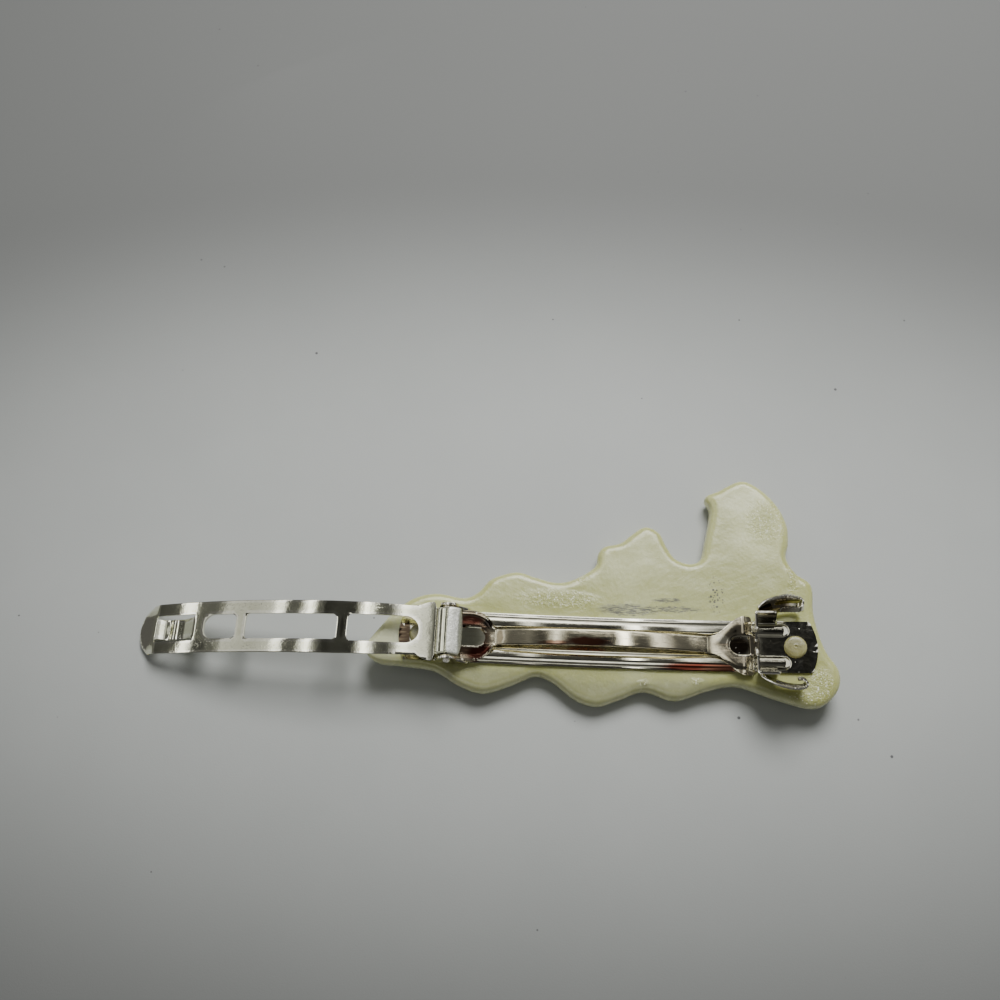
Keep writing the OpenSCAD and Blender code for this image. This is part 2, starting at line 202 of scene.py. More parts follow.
# Specks: small round dots that are scattered at random, such as dust and pits.
specks, given, result = effect("specks", Spacing=1.0, Radius=0.1, Share=0.5)
cells = add_node(specks, "TexVoronoi", feature="F1", Vector=given["Place"], Scale=1 / given["Spacing"],
                 Randomness=1)
chance, chance_size, _ = split("SeparateColor", Wire(cells.outputs["Color"]))
radius = given["Radius"] * (chance_size + 0.3) / given["Spacing"]
near = calc("SUBTRACT", 1, Wire(cells.outputs["Distance"]) / radius, clamp=True)
dot = calc("MULTIPLY", near, 3, clamp=True)
set_inputs(result, Mask=dot * calc("LESS_THAN", chance, given["Share"]))

floor_size = 4000
floor = flat_card("floor", (0, 0, 0), floor_size, floor_size)
paper, shader = new_material("floor_card")
place = part_place(shader)
squeezed = result_of(place.tree, "Mapping", Vector=place, Location=(7, -15, 0), Scale=(0.45, 1, 1))
far_off = result_of(place.tree, "VectorMath", "Value", operation="LENGTH", Vector=squeezed)
painted_light_falloff = result_of(place.tree, "MapRange", interpolation_type="SMOOTHSTEP", Value=far_off,
                       From_Min=28, From_Max=102)
base = tint(use(clouds, place, Size=38, Contrast=1.4), (0.44, 0.458, 0.438), (0.495, 0.51, 0.488))
# Painted shade: the card's colour darkens with distance from the barrette, a painted falloff of light.
base = tint(painted_light_falloff, base, (0.165, 0.169, 0.162))
base = tint(use(specks, place, Spacing=6, Radius=0.3, Share=0.35), base, (0.12, 0.12, 0.12))
fibre = use(clouds, place, Size=0.35, Contrast=1.0)
set_inputs(shader, Base_Color=base, Roughness=0.8,
           Normal=result_of(place.tree, "Bump", Strength=0.12, Distance=0.2 * mm, Height=fibre))
floor.data.materials.append(paper)


# Lights
# A soft round window behind the barrette, an even pale room, and a ceiling of plain cards with a low wall
# round it, which show only in the polished metal.
window_place = Vector((60, 330, 420))
window_data = bpy.data.lights.new("window_light", "AREA")
window_data.shape = "DISK"
window_data.size = 300 * mm
window_data.energy = 3.5
window_light = bpy.data.objects.new("window_light", window_data)
facing = (-window_place).to_track_quat("-Z", "Y").to_matrix().to_4x4()
window_light.matrix_world = Matrix.Translation(window_place * mm) @ facing
bpy.context.scene.collection.objects.link(window_light)

world = bpy.data.worlds.new("room")
world.use_nodes = True
room = world.node_tree.nodes["Background"]
room.inputs["Color"].default_value = (0.80, 0.81, 0.80, 1)
room.inputs["Strength"].default_value = 0.2
bpy.context.scene.world = world

# The cards hang low over the barrette and show only in its polished metal. Each stop is a place along
# X in mm and the brightness of the card there.
card_z = 30


def circle(x, y, r, n=40):
    """Points round a circle."""
    return [Vector((x + r * cos(2 * pi * i / n), y + r * sin(2 * pi * i / n))) for i in range(n)]


def only_reflected(card):
    """Hides a card from all but the reflections in glossy surfaces."""
    for rays in ("camera", "diffuse", "transmission", "volume_scatter", "shadow"):
        setattr(card, "visible_" + rays, False)


def glowing(name, stops, strength):
    """A material that only glows, by a ramp of greys with stops from 0 to 1: itself and the ramp's node."""
    material, shader = new_material(name)
    ramp = add_node(shader.id_data, "ValToRGB")
    for share, _ in stops[1:-1]:
        ramp.color_ramp.elements.new(share)
    for stop, (_, light) in zip(ramp.color_ramp.elements, stops):
        stop.color = (light, light, light, 1)
    set_inputs(shader, Emission_Color=Wire(ramp.outputs["Color"]), Emission_Strength=strength,
               Base_Color=(0, 0, 0), Specular_IOR_Level=0)
    return material, ramp


def reflected_card(name, y0, y1, stops):
    """A glowing card across the clip between y0 and y1, bright and dark along X as its stops say."""
    x0, x1 = stops[0][0], stops[-1][0]
    card = flat_card(name, ((x0 + x1) / 2, (y0 + y1) / 2, card_z), x1 - x0, y1 - y0)
    only_reflected(card)
    full = max(light for _, light in stops)
    glow, ramp = glowing(name + "_glow", [((x - x0) / (x1 - x0), light / full) for x, light in stops], full)
    half = (x1 - x0) / 2 * mm
    place_x = split("SeparateXYZ", result_of(ramp.id_data, "TexCoord", "Object"))[0]
    set_inputs(ramp, Fac=result_of(ramp.id_data, "MapRange", Value=place_x, From_Min=-half, From_Max=half))
    card.data.materials.append(glow)


over_arm = [
    (-150, 0.05), (-119, 0.09), (-118.4, 3.4), (-110.4, 3), (-109.8, 0.13), (-99, 0.13), (-96.5, 0.25),
    (-95.3, 0.75), (-82, 0.6), (-77, 0.8), (-74.8, 2.8), (-73, 1.7), (-72.2, 0.1), (-68.3, 0.12),
    (-66.8, 1.2), (-65, 4), (-64, 1.8), (-63.2, 0.2), (-60.5, 0.03), (-57, 0.05), (-51.8, 0.04),
    (-50.3, 0.8), (-48.9, 5), (-47.4, 1.8), (-46, 0.15), (-43, 0.07), (-41.8, 0.16), (-40.3, 0.95),
    (-38.5, 2.7), (-36, 1.6), (-31.2, 1),
]
over_strip = [
    (-31.2, 0.3), (-27.5, 0.12), (-23.5, 0.14), (-22.3, 0.2), (-20.8, 0.18), (-19.6, 0.1), (-17.5, 0.06),
    (-15.9, 0.1), (-14.6, 0.6), (-12.8, 1.9), (-11.3, 0.6), (-9.8, 0.08), (-4.8, 0.07), (-0.3, 0.06),
    (0.8, 0.025), (3, 0.03), (4.8, 0.08), (5.7, 1.8), (6.8, 5.2), (7.9, 6.4), (8.9, 1.4), (9.9, 0.15),
    (12.6, 0.055), (14.6, 0.08), (15.8, 0.55), (17.3, 1.75), (19.2, 1.35), (21, 0.72), (23.5, 0.14),
    (29.6, 0.09), (30.4, 0.12),
]
over_catch = [
    (30.4, 0.12), (31, 0.014), (34.2, 0.012), (42.6, 0.01), (44, 0.08), (47, 1.2), (60, 1.2), (150, 0.3),
]
behind = [
    (-150, 0.09), (-100, 0.12), (-36, 0.3), (-24, 0.35), (-20, 4), (0, 2.8), (14, 2.2), (20, 0.5),
    (25, 0.3), (31, 1), (40, 0.9), (46, 0.1), (150, 0.3),
]
for name, y0, y1, stops in (
    ("card_over_arm", -4, 22, over_arm),
    ("card_over_strip", -4, 22, over_strip),
    ("card_over_catch", -4, 22, over_catch),
    ("card_in_front_dark", -16, -4, [(-150, 0.1), (-60, 0.06), (60, 0.05), (150, 0.1)]),
    ("card_in_front_bright", -27, -16, [(-150, 0.5), (-100, 1.6), (20, 1.6), (26, 0.2), (150, 0.2)]),
    ("card_in_front_far", -150, -27, [(-150, 0.15), (0, 0.1), (150, 0.15)]),
    ("card_behind", 22, 50, behind),
    ("card_behind_far", 50, 150, [(-150, 0.3), (-20, 0.8), (16, 0.8), (24, 0.15), (150, 0.3)]),
):
    reflected_card(name, y0, y1, stops)

# Round the barrette stands a low dark wall with a few bright panes, for the steep sides of the metal.
wall_r, wall_foot, wall_top, wall_sides = 170, 0.5, 30, 48
wall_mesh = bpy.data.meshes.new("reflected_wall")
ring = circle(0, 0, wall_r, wall_sides)
ring_ends = [(i, (i + 1) % wall_sides) for i in range(wall_sides)]
wall_mesh.from_pydata([(p.x * mm, p.y * mm, z * mm) for z in (wall_foot, wall_top) for p in ring], [],
                      [(i, j, wall_sides + j, wall_sides + i) for i, j in ring_ends])
wall = bpy.data.objects.new("reflected_wall", wall_mesh)
bpy.context.scene.collection.objects.link(wall)
only_reflected(wall)
panes = [
    (0, 0.09), (0.04, 0.07), (0.08, 0.04), (0.1, 0.6), (0.12, 0.05), (0.3, 0.04), (0.32, 0.5), (0.34, 0.05),
    (0.55, 0.03), (0.6, 0.3), (0.63, 0.04), (0.8, 0.05), (0.83, 0.7), (0.86, 0.04), (0.91, 0.08), (1, 0.09),
]
wall_glow, ramp = glowing("reflected_wall_glow", panes, 1.6)
place = result_of(ramp.id_data, "TexCoord", "Object")
set_inputs(ramp, Fac=result_of(place.tree, "TexGradient", "Fac", gradient_type="RADIAL", Vector=place))
wall_mesh.materials.append(wall_glow)


# Ornament
# The front is one thick casting of glossy cream plastic, a little bowed. Two studs cast on its back
# go through the plate's end holes and were melted over into flat, dimpled heads that hold the clip.
bow_sag, plate_half, plate_mid_z = 2.3, 40, 4.6
bow_r = (plate_half ** 2 + bow_sag ** 2) / (2 * bow_sag)
bow_z = plate_mid_z + bow_r
plate_t, plate_gap = 0.5, 0.03
body_t = 4.32
stud_x = 35.9
back_round, front_round = 1.4, 1.9
wave_height, wave_length, wave_sink = 0.05, 5, 0.02
edge_insets = (0, 0.02, 0.07, 0.16, 0.3, 0.5)
outline_points = [
    (-46.4, -3), (-44.2, 1), (-40.5, 5.5), (-37, 7.9), (-33, 8.8), (-28, 8.2),
    (-25.2, 9.6), (-22.7, 12.4), (-17.9, 14.1), (-14, 13.2), (-10, 12.3), (-6.5, 13),
    (-2.2, 15.8), (-1.5, 18.6), (-0.2, 20.2), (3, 21.1), (5.2, 22.9), (8, 24.7),
    (10.8, 23.5), (12.3, 20.5), (14, 18), (16.8, 17), (19, 18.1), (20, 22),
    (21.2, 28.3), (20.3, 31.3), (23, 32.8), (27.5, 35), (31, 33.5), (34.3, 29.9),
    (36.2, 25.5), (36.3, 21.5), (35.7, 18.2), (37.4, 15.1), (40.1, 12.6), (40.1, 7.5),
    (40.7, 3.5), (41.9, -0.5), (43.9, -4), (43.8, -7.2), (41.7, -10), (38.5, -11.2),
    (32, -9.5), (25, -7.3), (19.5, -8.3), (13.4, -10.3), (7.4, -8.8), (2.5, -10.6),
    (-1.7, -11.9), (-5.7, -10.8), (-10, -7.7), (-13.5, -6.6), (-18, -8.5), (-23.5, -10.3),
    (-28.5, -8.9), (-33, -6.5), (-39, -5.9), (-44, -5.5),
]


def bowed(x, y, h):
    """The point h above the plate's bowed back, over the plan place x, y."""
    a = asin(x / bow_r)
    return (bow_r - h) * sin(a), y, bow_z - (bow_r - h) * cos(a)


def plate_z(x):
    """The height of the plate's back at x."""
    return bowed(x, 0, 0)[2]


def spline(points, steps):
    """A smooth closed curve through the points, counterclockwise, with so many steps a span."""
    points = [Vector(p) for p in reversed(points)]
    n = len(points)
    curve = []
    for i in range(n):
        a, b, c, d = (points[(i + k) % n] for k in (-1, 0, 1, 2))
        for k in range(steps):
            t = k / steps
            curve.append(b + t * (c - a) / 2 + t * t * (a - 2.5 * b + 2 * c - d / 2)
                         + t ** 3 * ((b - c) * 1.5 + (d - a) / 2))
    return curve


def inset(loop, d, reach):
    """A closed loop moved inward by d, its direction evened out over a few neighbours."""
    n = len(loop)
    moved = []
    for i in range(n):
        way = (loop[(i + reach) % n] - loop[i - reach]).normalized()
        moved.append(loop[i] + d * Vector((-way.y, way.x)))
    return moved


def inside(p, loop):
    """Whether a point lies within a closed loop."""
    odd = False
    for a, b in zip(loop, [*loop[1:], loop[0]]):
        if (a[1] > p[1]) != (b[1] > p[1]) and p[0] < a[0] + (p[1] - a[1]) / (b[1] - a[1]) * (b[0] - a[0]):
            odd = not odd
    return odd


def cut_pattern(outline, holes=(), lines=()):
    """A flat pattern with holes, cut into small cells by lines: its points and its cells."""
    points, edges = [], []
    for loop in (outline, *holes):
        first = len(points)
        points += [Vector(p) for p in loop]
        edges += [(first + i, first + (i + 1) % len(loop)) for i in range(len(loop))]
    for line in lines:
        first = len(points)
        points += [Vector(p) for p in line]
        edges += [(first + i, first + i + 1) for i in range(len(line) - 1)]
    points, _, cells, *_ = delaunay_2d_cdt(points, edges, [], 3, 1e-5)
    kept = []
    for cell in cells:
        corners = [points[i].to_3d() for i in cell]
        parts = tessellate_polygon([corners])
        if not parts:
            continue
        middle = sum((corners[i] for i in parts[0]), Vector()) / 3
        if inside(middle, outline) and not any(inside(middle, hole) for hole in holes):
            whole = len(set(cell)) == len(cell)
            kept += [list(cell)] if whole else [[cell[i] for i in part] for part in parts]
    return points, kept


def steps(a, b, step):
    """Evenly spaced values from a to b."""
    n = max(1, ceil(abs(b - a) / step))
    return [a + (b - a) * i / n for i in range(n + 1)]


def grid_lines(x0, x1, y0, y1, step):
    """Straight lines both ways across a pattern."""
    return ([[(x, y0), (x, y1)] for x in steps(x0, x1, step)]
            + [[(x0, y), (x1, y)] for y in steps(y0, y1, step)])


def new_piece(name, bm, material):
    """A smooth Blender object of a mesh that was built in millimetres."""
    bmesh.ops.scale(bm, vec=(mm, mm, mm), verts=bm.verts)
    mesh = bpy.data.meshes.new(name)
    bm.to_mesh(mesh)
    bm.free()
    mesh.shade_smooth()
    mesh.materials.append(material)
    piece = bpy.data.objects.new(name, mesh)
    bpy.context.scene.collection.objects.link(piece)
    return piece


rim = spline(outline_points, 6)
rim_tree = KDTree(len(rim) * 4)
for i, p in enumerate(spline(outline_points, 24)):
    rim_tree.insert(p.to_3d(), i)
rim_tree.balance()


def face_drop(d, reach):
    """How far a face has fallen away at the distance d from the rim."""
    t = max(0, 1 - d / reach)
    return reach * (1 - sqrt(1 - t * t))


def body_point(p, d, back):
    """A point of the casting's back or front face, at the distance d from its rim."""
    ripple = noise.noise(Vector((p.x / wave_length, p.y / wave_length, 3)))
    wave = wave_height * ripple * min(1, d / 3)
    z = bowed(p.x, p.y, 0)[2] - plate_t - plate_gap
    if back:
        return p.x, p.y, z - face_drop(d, back_round) + min(0, wave - wave_sink)
    return p.x, p.y, max(z - body_t + face_drop(d, front_round), 0)


bm = bmesh.new()
rings = []
for back in (False, True):
    for d in (edge_insets if back else reversed(edge_insets)):
        rings.append([bm.verts.new(body_point(p, d, back)) for p in inset(rim, d, 6)])
for low, high in zip(rings, rings[1:]):
    n = len(low)
    for i in range(n):
        j = (i + 1) % n
        bm.faces.new((low[i], low[j], high[j], high[i]))
inner = inset(rim, edge_insets[-1], 6)
points, cells = cut_pattern(inner, lines=grid_lines(-48, 46, -13, 37, 0.5))
for back in (False, True):
    ring = rings[-1] if back else rings[0]
    ring_places = {(round(p.x, 4), round(p.y, 4)): v for p, v in zip(inner, ring)}
    verts = []
    for p in points:
        known = ring_places.get((round(p.x, 4), round(p.y, 4)))
        if known is None:
            d = rim_tree.find(p.to_3d())[2]
            known = bm.verts.new(body_point(p, d, back))
        verts.append(known)
    for cell in cells:
        bm.faces.new([verts[i] for i in (cell if back else reversed(cell))])
loose = [v for v in bm.verts if not v.link_faces]
bmesh.ops.delete(bm, geom=loose, context="VERTS")


def turned(bm, profile, place, n=64):
    """Adds a shape turned about its Z: the profile's radii and heights, from the axis outward and down."""
    rings = []
    for r, h in profile:
        ring = circle(0, 0, r, n) if r else [(0, 0)]
        rings.append([bm.verts.new(place(x, y, h)) for x, y in ring])
    for a, b in zip(rings, rings[1:]):
        for i in range(n):
            j = (i + 1) % n
            if len(a) == 1:
                bm.faces.new((a[0], b[i], b[j]))
            elif len(b) == 1:
                bm.faces.new((a[i], b[0], a[j]))
            else:
                bm.faces.new((a[i], b[i], b[j], a[j]))


def on_plate(x0):
    """Places a point given in the plate's own frame at x0, where Z stands square to its back."""
    a = asin(x0 / bow_r)

    def place(x, y, h):
        return x0 + x * cos(a) - h * sin(a), y, bowed(x0, 0, 0)[2] + x * sin(a) + h * cos(a)
    return place


# A head's radii and heights: the tiny dimple, its raised lip, the flat face and the melted rim.
head_profile = [
    (0, 0.47), (0.1, 0.48), (0.19, 0.55), (0.26, 0.61), (0.34, 0.635), (0.44, 0.61), (0.6, 0.6),
    (1.0, 0.6), (1.5, 0.585), (1.78, 0.55), (1.95, 0.47), (2.07, 0.34), (2.1, 0.2), (2.05, 0.08),
    (1.9, 0.02), (1.4, 0.02), (1.4, -0.8),
]
for x in (-stud_x, stud_x):
    turned(bm, head_profile, on_plate(x))


# Ragged patch: a ragged oval with a soft edge, used for stains and for painted light and shade.
ragged_patch, given, result = effect("ragged_patch", X=0.0, Y=0.0, Length=1.0, Width=1.0, Ragged=0.5, Softness=0.5)
ragged = result_of(ragged_patch, "TexNoise", "Color", Vector=given["Place"], Scale=1.1, Detail=4)
edge_noise = split("SeparateColor", ragged)
spot = split("SeparateXYZ", given["Place"])
reach = []
for axis, (middle, half) in enumerate((("X", "Length"), ("Y", "Width"))):
    along = spot[axis] - given[middle] + (edge_noise[axis] - 0.5) * given["Ragged"]
    reach.append(calc("POWER", calc("ABSOLUTE", along / given[half]), 2))
set_inputs(result, Mask=result_of(
    ragged_patch, "MapRange", interpolation_type="SMOOTHSTEP", Value=calc("SQRT", reach[0] + reach[1]),
    From_Min=1 - given["Softness"], From_Max=1, To_Min=1, To_Max=0))

# Streaks: fine broken lines that run along the clip, such as rubbed ink, rolling lines and scratches.
streaks, given, result = effect("streaks", Length=3.0, Width=0.1, Share=0.5)
x, y, z = split("SeparateXYZ", given["Place"])
stretched = result_of(streaks, "CombineXYZ", X=x / given["Length"],
                      Y=y / given["Width"], Z=z / given["Width"])
lines = result_of(streaks, "TexNoise", Vector=stretched, Scale=1, Detail=3, Roughness=0.55)
least = 0.75 - given["Share"] * 0.5
set_inputs(result, Mask=calc("MULTIPLY", lines - least, 7, clamp=True))


def stained_and_shaded(place, base, stains_and_shades):
    """A colour with stains and painted light and shade laid over it: each one's middle, half length, half
    width, raggedness and colour.
    """
    for x, y, length, width, ragged, colour in stains_and_shades:
        base = tint(use(ragged_patch, place, X=x, Y=y, Length=length, Width=width, Ragged=ragged), base, colour)
    return base


def where(place, spots, softness=0.8):
    """A mask that covers several ragged spots, each given by its middle, half length and half width."""
    total = 0
    for x, y, length, width in spots:
        spot = use(ragged_patch, place, X=x, Y=y, Length=length, Width=width, Ragged=1.2, Softness=softness)
        total = calc("ADD", spot, total, clamp=True)
    return total


cream, shader = new_material("cream_plastic")
place = part_place(shader)
base = tint(use(clouds, place, Size=11, Contrast=1.6), (0.415, 0.428, 0.158), (0.475, 0.488, 0.187))
# Painted shade darkens the lower edge in the first two patches; painted light makes the upper right lobe
# and the left tip paler in the last two.
base = stained_and_shaded(place, base, [
    (-20, -10, 30, 5.5, 2.5, (0.33, 0.338, 0.165)), (14, -10, 24, 4.2, 2, (0.33, 0.338, 0.175)),
    (31, 27, 8, 13, 4, (0.53, 0.545, 0.235)), (-44, -1, 7, 9, 2, (0.56, 0.57, 0.36))])
rubbed_spots = where(place, [(4.5, 6.9, 7, 1.5), (13, 7.2, 6.5, 0.7), (12, 9, 3.5, 0.6)], 0.4)
rubbed = use(streaks, place, Length=1.5, Width=0.13, Share=0.7) * rubbed_spots
base = tint(rubbed, base, (0.08, 0.08, 0.045))
speck_spot = where(place, [(21.6, 10.4, 1.9, 4.6)], 0.4)
dark_specks = use(specks, place, Spacing=0.5, Radius=0.26, Share=0.8) * speck_spot
base = tint(dark_specks, base, (0.08, 0.08, 0.05))
base = tint(use(specks, place, Spacing=5.5, Radius=0.17, Share=0.28), base, (0.2, 0.18, 0.11))
frost_and_glint_spots = where(place, [
    (-9.5, 8.6, 10, 2.4), (32, 26, 5, 6), (40.4, -7, 3.2, 3.6), (36.4, 14, 1.1, 6), (-5.5, 13.4, 3, 1.4),
    (7.1, -7.4, 1.4, 0.8), (17.3, -6.9, 1.4, 0.8), (37.5, -10, 5, 2)])
# Pale specks in the frosted spots: frosted scratches, and painted glints.
base = tint(frost_and_glint_spots * use(specks, place, Spacing=0.33, Radius=0.17, Share=0.5), base, (0.86, 0.87, 0.66))
# Painted light: the rim's rounded sides are painted paler than the flat back, for the light that passes
# through the rim.
x, y, z = split("SeparateXYZ", place)
back_z = calc("POWER", x, 2) * (0.5 / bow_r) + (plate_mid_z - plate_t)
painted_rim_light = calc("MULTIPLY", back_z - z - 0.12, 0.9, clamp=True)
base = tint(painted_rim_light, base, (0.68, 0.69, 0.42))
# The melted stud heads are thinner and let the dark metal show through.
left_head, right_head = (use(ragged_patch, place, X=side * stud_x, Length=2.3, Width=2.3, Ragged=0, Softness=0.05)
                         for side in (-1, 1))
above_plate = calc("GREATER_THAN", z, plate_z(stud_x) - 0.05)
melted = tint(use(clouds, place, Size=1.3, Contrast=1.8), (0.2, 0.185, 0.07), (0.36, 0.34, 0.155))
base = tint(above_plate * (left_head + right_head), base, melted)
peel = use(clouds, place, Size=0.55, Contrast=1.4) * (frost_and_glint_spots * 1.6 + 0.1)
height = use(clouds, place, Size=4.5, Contrast=1.4) * 0.6 + peel
gloss = use(clouds, place, Size=2.5, Contrast=1.5) * 0.14 + 0.2
set_inputs(shader, Base_Color=base, Roughness=gloss + rubbed * 0.2, Coat_Weight=0.12, Coat_Roughness=0.12,
           Subsurface_Weight=0.5, Subsurface_Radius=(1, 0.92, 0.6), Subsurface_Scale=3 * mm,
           Normal=result_of(place.tree, "Bump", Strength=0.8, Distance=0.18 * mm, Height=height))
ornament = new_piece("ornament_casting", bm, cream)
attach(ornament, "clip")
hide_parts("ornament")


# Base plate
# One stamping of thin steel, plated bright: two long beads stiffen its bow, two ears bent up at the left
# hold the hinge pin, and two at the right are folded in as jaws with barbs. The ornament's studs fix it.
def bent(v, start, low, radius, turn):
    """A sheet's side and height at v past the start of a bend that turns it up by so much."""
    a = min(v / radius, turn)
    rest = max(0, v - radius * turn)
    return (start + radius * sin(a) + rest * cos(turn),
            low + radius * (1 - cos(a)) + rest * sin(turn))


def smooth(a, b, x):
    """Rises evenly from 0 at a to 1 at b."""
    t = min(1, max(0, (x - a) / (b - a)))
    return t * t * (3 - 2 * t)


def add_sheet(bm, outline, place, holes=(), lines=()):
    """Adds a pattern to a mesh as the middle of a sheet, each of its points put in place."""
    points, cells = cut_pattern(outline, holes, lines)
    verts = [bm.verts.new(place(p[0], p[1])) for p in points]
    for cell in cells:
        bm.faces.new([verts[i] for i in cell])
    bmesh.ops.delete(bm, geom=[v for v in verts if not v.link_faces], context="VERTS")


def sheet_piece(name, bm, thickness, material):
    """Gives sheets their thickness and a softly broken edge, as one finished piece."""
    piece = new_piece(name, bm, material)
    skin = piece.modifiers.new("thickness", "SOLIDIFY")
    skin.thickness = thickness * mm
    skin.offset = 0
    skin.use_even_offset = True
    edge = piece.modifiers.new("edge", "BEVEL")
    edge.width = broken_edge * mm
    edge.segments = 2
    edge.limit_method = "ANGLE"
    edge.angle_limit = radians(50)
    piece.modifiers.new("normals", "WEIGHTED_NORMAL").keep_sharp = True
    bpy.context.view_layer.update()
    final = bpy.data.meshes.new_from_object(piece.evaluated_get(bpy.context.evaluated_depsgraph_get()))
    piece.modifiers.clear()
    piece.data = final
    final.name = name
    return piece


broken_edge, slack = 0.07, 0.04
half_w, plate_end_r, stud_hole_r = 5, 10.3, 1.46
bead_y, bead_w, bead_h = 3.15, 2.4, 0.55
bead_x0, bead_x1, bead_foot, bead_reach = -26.5, 33.6, 0.95, 1.45
bead_r = ((bead_w / 2) ** 2 + bead_h ** 2) / (2 * bead_h)
pin_x, pin_z, pin_r, pin_fit, pin_play = -30.36, 8.78, 0.6, 0.03, 0.06
ear_mid_y, ear_bend_r = 5.2, 0.45
ear_start = ear_mid_y - ear_bend_r
ear_x0, ear_x1, ear_top_r = pin_x - 2.1, pin_x + 3.9, 1.85
sheet_low = -plate_t / 2
relief, tuck = 0.25, 0.05


def bead_height(x, y):
    """How high the pressed beads stand at a place on the plate."""
    d = hypot(x - min(max(x, bead_x0), bead_x1), abs(y) - bead_y)
    if d >= bead_reach:
        return 0
    t = min(1, (bead_reach - d) / (bead_reach - bead_foot))
    return (sqrt(bead_r ** 2 - min(d, bead_foot) ** 2) - (bead_r - bead_h)) * t * t


def hinge_ear_v(x, z):
    """How far along the sheet past the bend the point of a hinge ear at x, z lies."""
    return z - plate_z(x) - sheet_low - ear_bend_r + ear_bend_r * pi / 2


catch_x0, catch_x1 = 28.75, 32.45
catch_lean, catch_bend_r = radians(75), 0.45
catch_start, catch_top_v = 4.45, 4.35


def catch_mid_y(h):
    """How far out the middle of a catch ear's sheet lies, at a height above the plate."""
    bend_h = sheet_low + catch_bend_r * (1 - cos(catch_lean))
    return catch_start + catch_bend_r * sin(catch_lean) + (h - bend_h) / tan(catch_lean)


def place_plate(x, y):
    """A point of the plate's flat pattern, once pressed and folded."""
    side = 1 if y > 0 else -1
    v_hinge, v_catch = abs(y) - ear_start, abs(y) - catch_start
    if v_hinge > 0 and ear_x0 - 0.01 < x < ear_x1 + 0.01:
        yy, h = bent(v_hinge, ear_start, sheet_low, ear_bend_r, pi / 2)
        return x, side * yy, plate_z(x) + h
    if v_catch > 0 and catch_x0 - 0.01 < x < catch_x1 + 0.01:
        yy, h = bent(v_catch, catch_start, sheet_low, catch_bend_r, catch_lean)
        return bowed(x, side * yy, h)
    return bowed(x, y, sheet_low + bead_height(x, y))


def arc(x, y, r, a0, a1, n):
    """Points along an arc between two angles in degrees."""
    turns = [radians(a0 + (a1 - a0) * i / n) for i in range(n + 1)]
    return [(x + r * cos(a), y + r * sin(a)) for a in turns]


end_a = degrees(asin(half_w / plate_end_r))
end_c = plate_half - plate_end_r
catch_top, catch_corner = catch_start + catch_top_v, 0.3


def ear_side(x0, x1, start, top):
    """The plate's edge round an ear between x0 and x1, with the relief notches at its two feet."""
    foot = start - tuck
    return [(x1 + relief, half_w), (x1 + relief, foot), (x1, foot), *top,
            (x0, foot), (x0 - relief, foot), (x0 - relief, half_w)]


catch_edge = ear_side(catch_x0, catch_x1, catch_start, [
    (catch_x1, catch_top - catch_corner), (catch_x1 - catch_corner, catch_top), (catch_x0, catch_top)])
ear_edge = ear_side(ear_x0, ear_x1, ear_start, [(x, ear_start + hinge_ear_v(x, z)) for x, z in (
    (ear_x1, plate_z(ear_x1) + 0.7), (ear_x1 - 0.5, plate_z(ear_x1) + 1.2),
    *arc(pin_x, pin_z, ear_top_r, -12, 192, 30), (ear_x0, plate_z(ear_x0) + 0.8))])
far_side = catch_edge + ear_edge
near_side = [(x, -y) for x, y in reversed(far_side)]
plate_outline = (arc(end_c, 0, plate_end_r, -end_a, end_a, 24) + far_side
                 + arc(-end_c, 0, plate_end_r, 180 - end_a, 180 + end_a, 24) + near_side)
plate_holes = [circle(x, 0, stud_hole_r) for x in (-stud_x, stud_x)]
pin_hole = [(x, ear_start + hinge_ear_v(x, z)) for x, z in circle(pin_x, pin_z, pin_r + pin_fit)]
plate_holes += [pin_hole, [(x, -y) for x, y in pin_hole]]
plate_lines = [[(x, -12), (x, 12)] for x in steps(-39, 39, 0.75)]
plate_lines += [[(-42, y), (42, y)] for y in (-1, 0, 1)]
for side in (-1, 1):
    for d in (0.25, 0.5, 0.75, bead_foot, 1.08, 1.2, 1.32, bead_reach):
        right = arc(bead_x1, side * bead_y, d, -90, 90, 12)
        left = arc(bead_x0, side * bead_y, d, 90, 270, 12)
        plate_lines.append(right + left + [right[0]])
    plate_lines.append([(bead_x0, side * bead_y), (bead_x1, side * bead_y)])
    for x0, x1, start, bend in ((ear_x0, ear_x1, ear_start, ear_bend_r * pi / 2),
                                (catch_x0, catch_x1, catch_start, catch_bend_r * catch_lean)):
        for v in steps(0, bend, 0.12):
            plate_lines.append([(x0 - 0.2, side * (start + v)), (x1 + 0.2, side * (start + v))])
    plate_lines.append([(-42, side * 4), (42, side * 4)])


# A jaw is folded in across the clip from its ear's edge, and ends in an upright barb and a low tongue.
jaw_fold_r = 0.3
jaw_fold_w = jaw_fold_r * pi / 2


def jaw_w(y, h):
    """How far past its ear's edge the point y, h of a jaw lies on the flat pattern."""
    return catch_mid_y(h) - jaw_fold_r - y + jaw_fold_w


def place_jaw(side):
    """Places a jaw on one side of the clip, by the way past its ear's edge and the height."""
    def place(w, h):
        a = min(max(w, 0) / jaw_fold_r, pi / 2)
        y = catch_mid_y(h) - jaw_fold_r * (1 - cos(a)) - max(0, w - jaw_fold_w)
        return bowed(catch_x0 - jaw_fold_r * sin(a) - min(w, 0), side * y, h)
    return place


jaw_outline = [(-0.15, 3.75), (-0.15, 1.1)] + [(jaw_w(y, h), h) for y, h in (
    (4.9, 1.05), (0.9, 1.05), (0.5, 1.2), (0.5, 1.6), (0.9, 1.9), (2.17, 2.3), (2.17, 4.3),
    (2.23, 4.38), (2.42, 4.38), (2.48, 4.28), (2.5, 3.55), (2.9, 3.42), (5.35, 3.5))] + [(0.3, 3.7)]
jaw_lines = [[(w, 0), (w, 5)] for w in steps(0, jaw_fold_w, 0.08)] + grid_lines(-1, 8, 0, 5, 0.6)

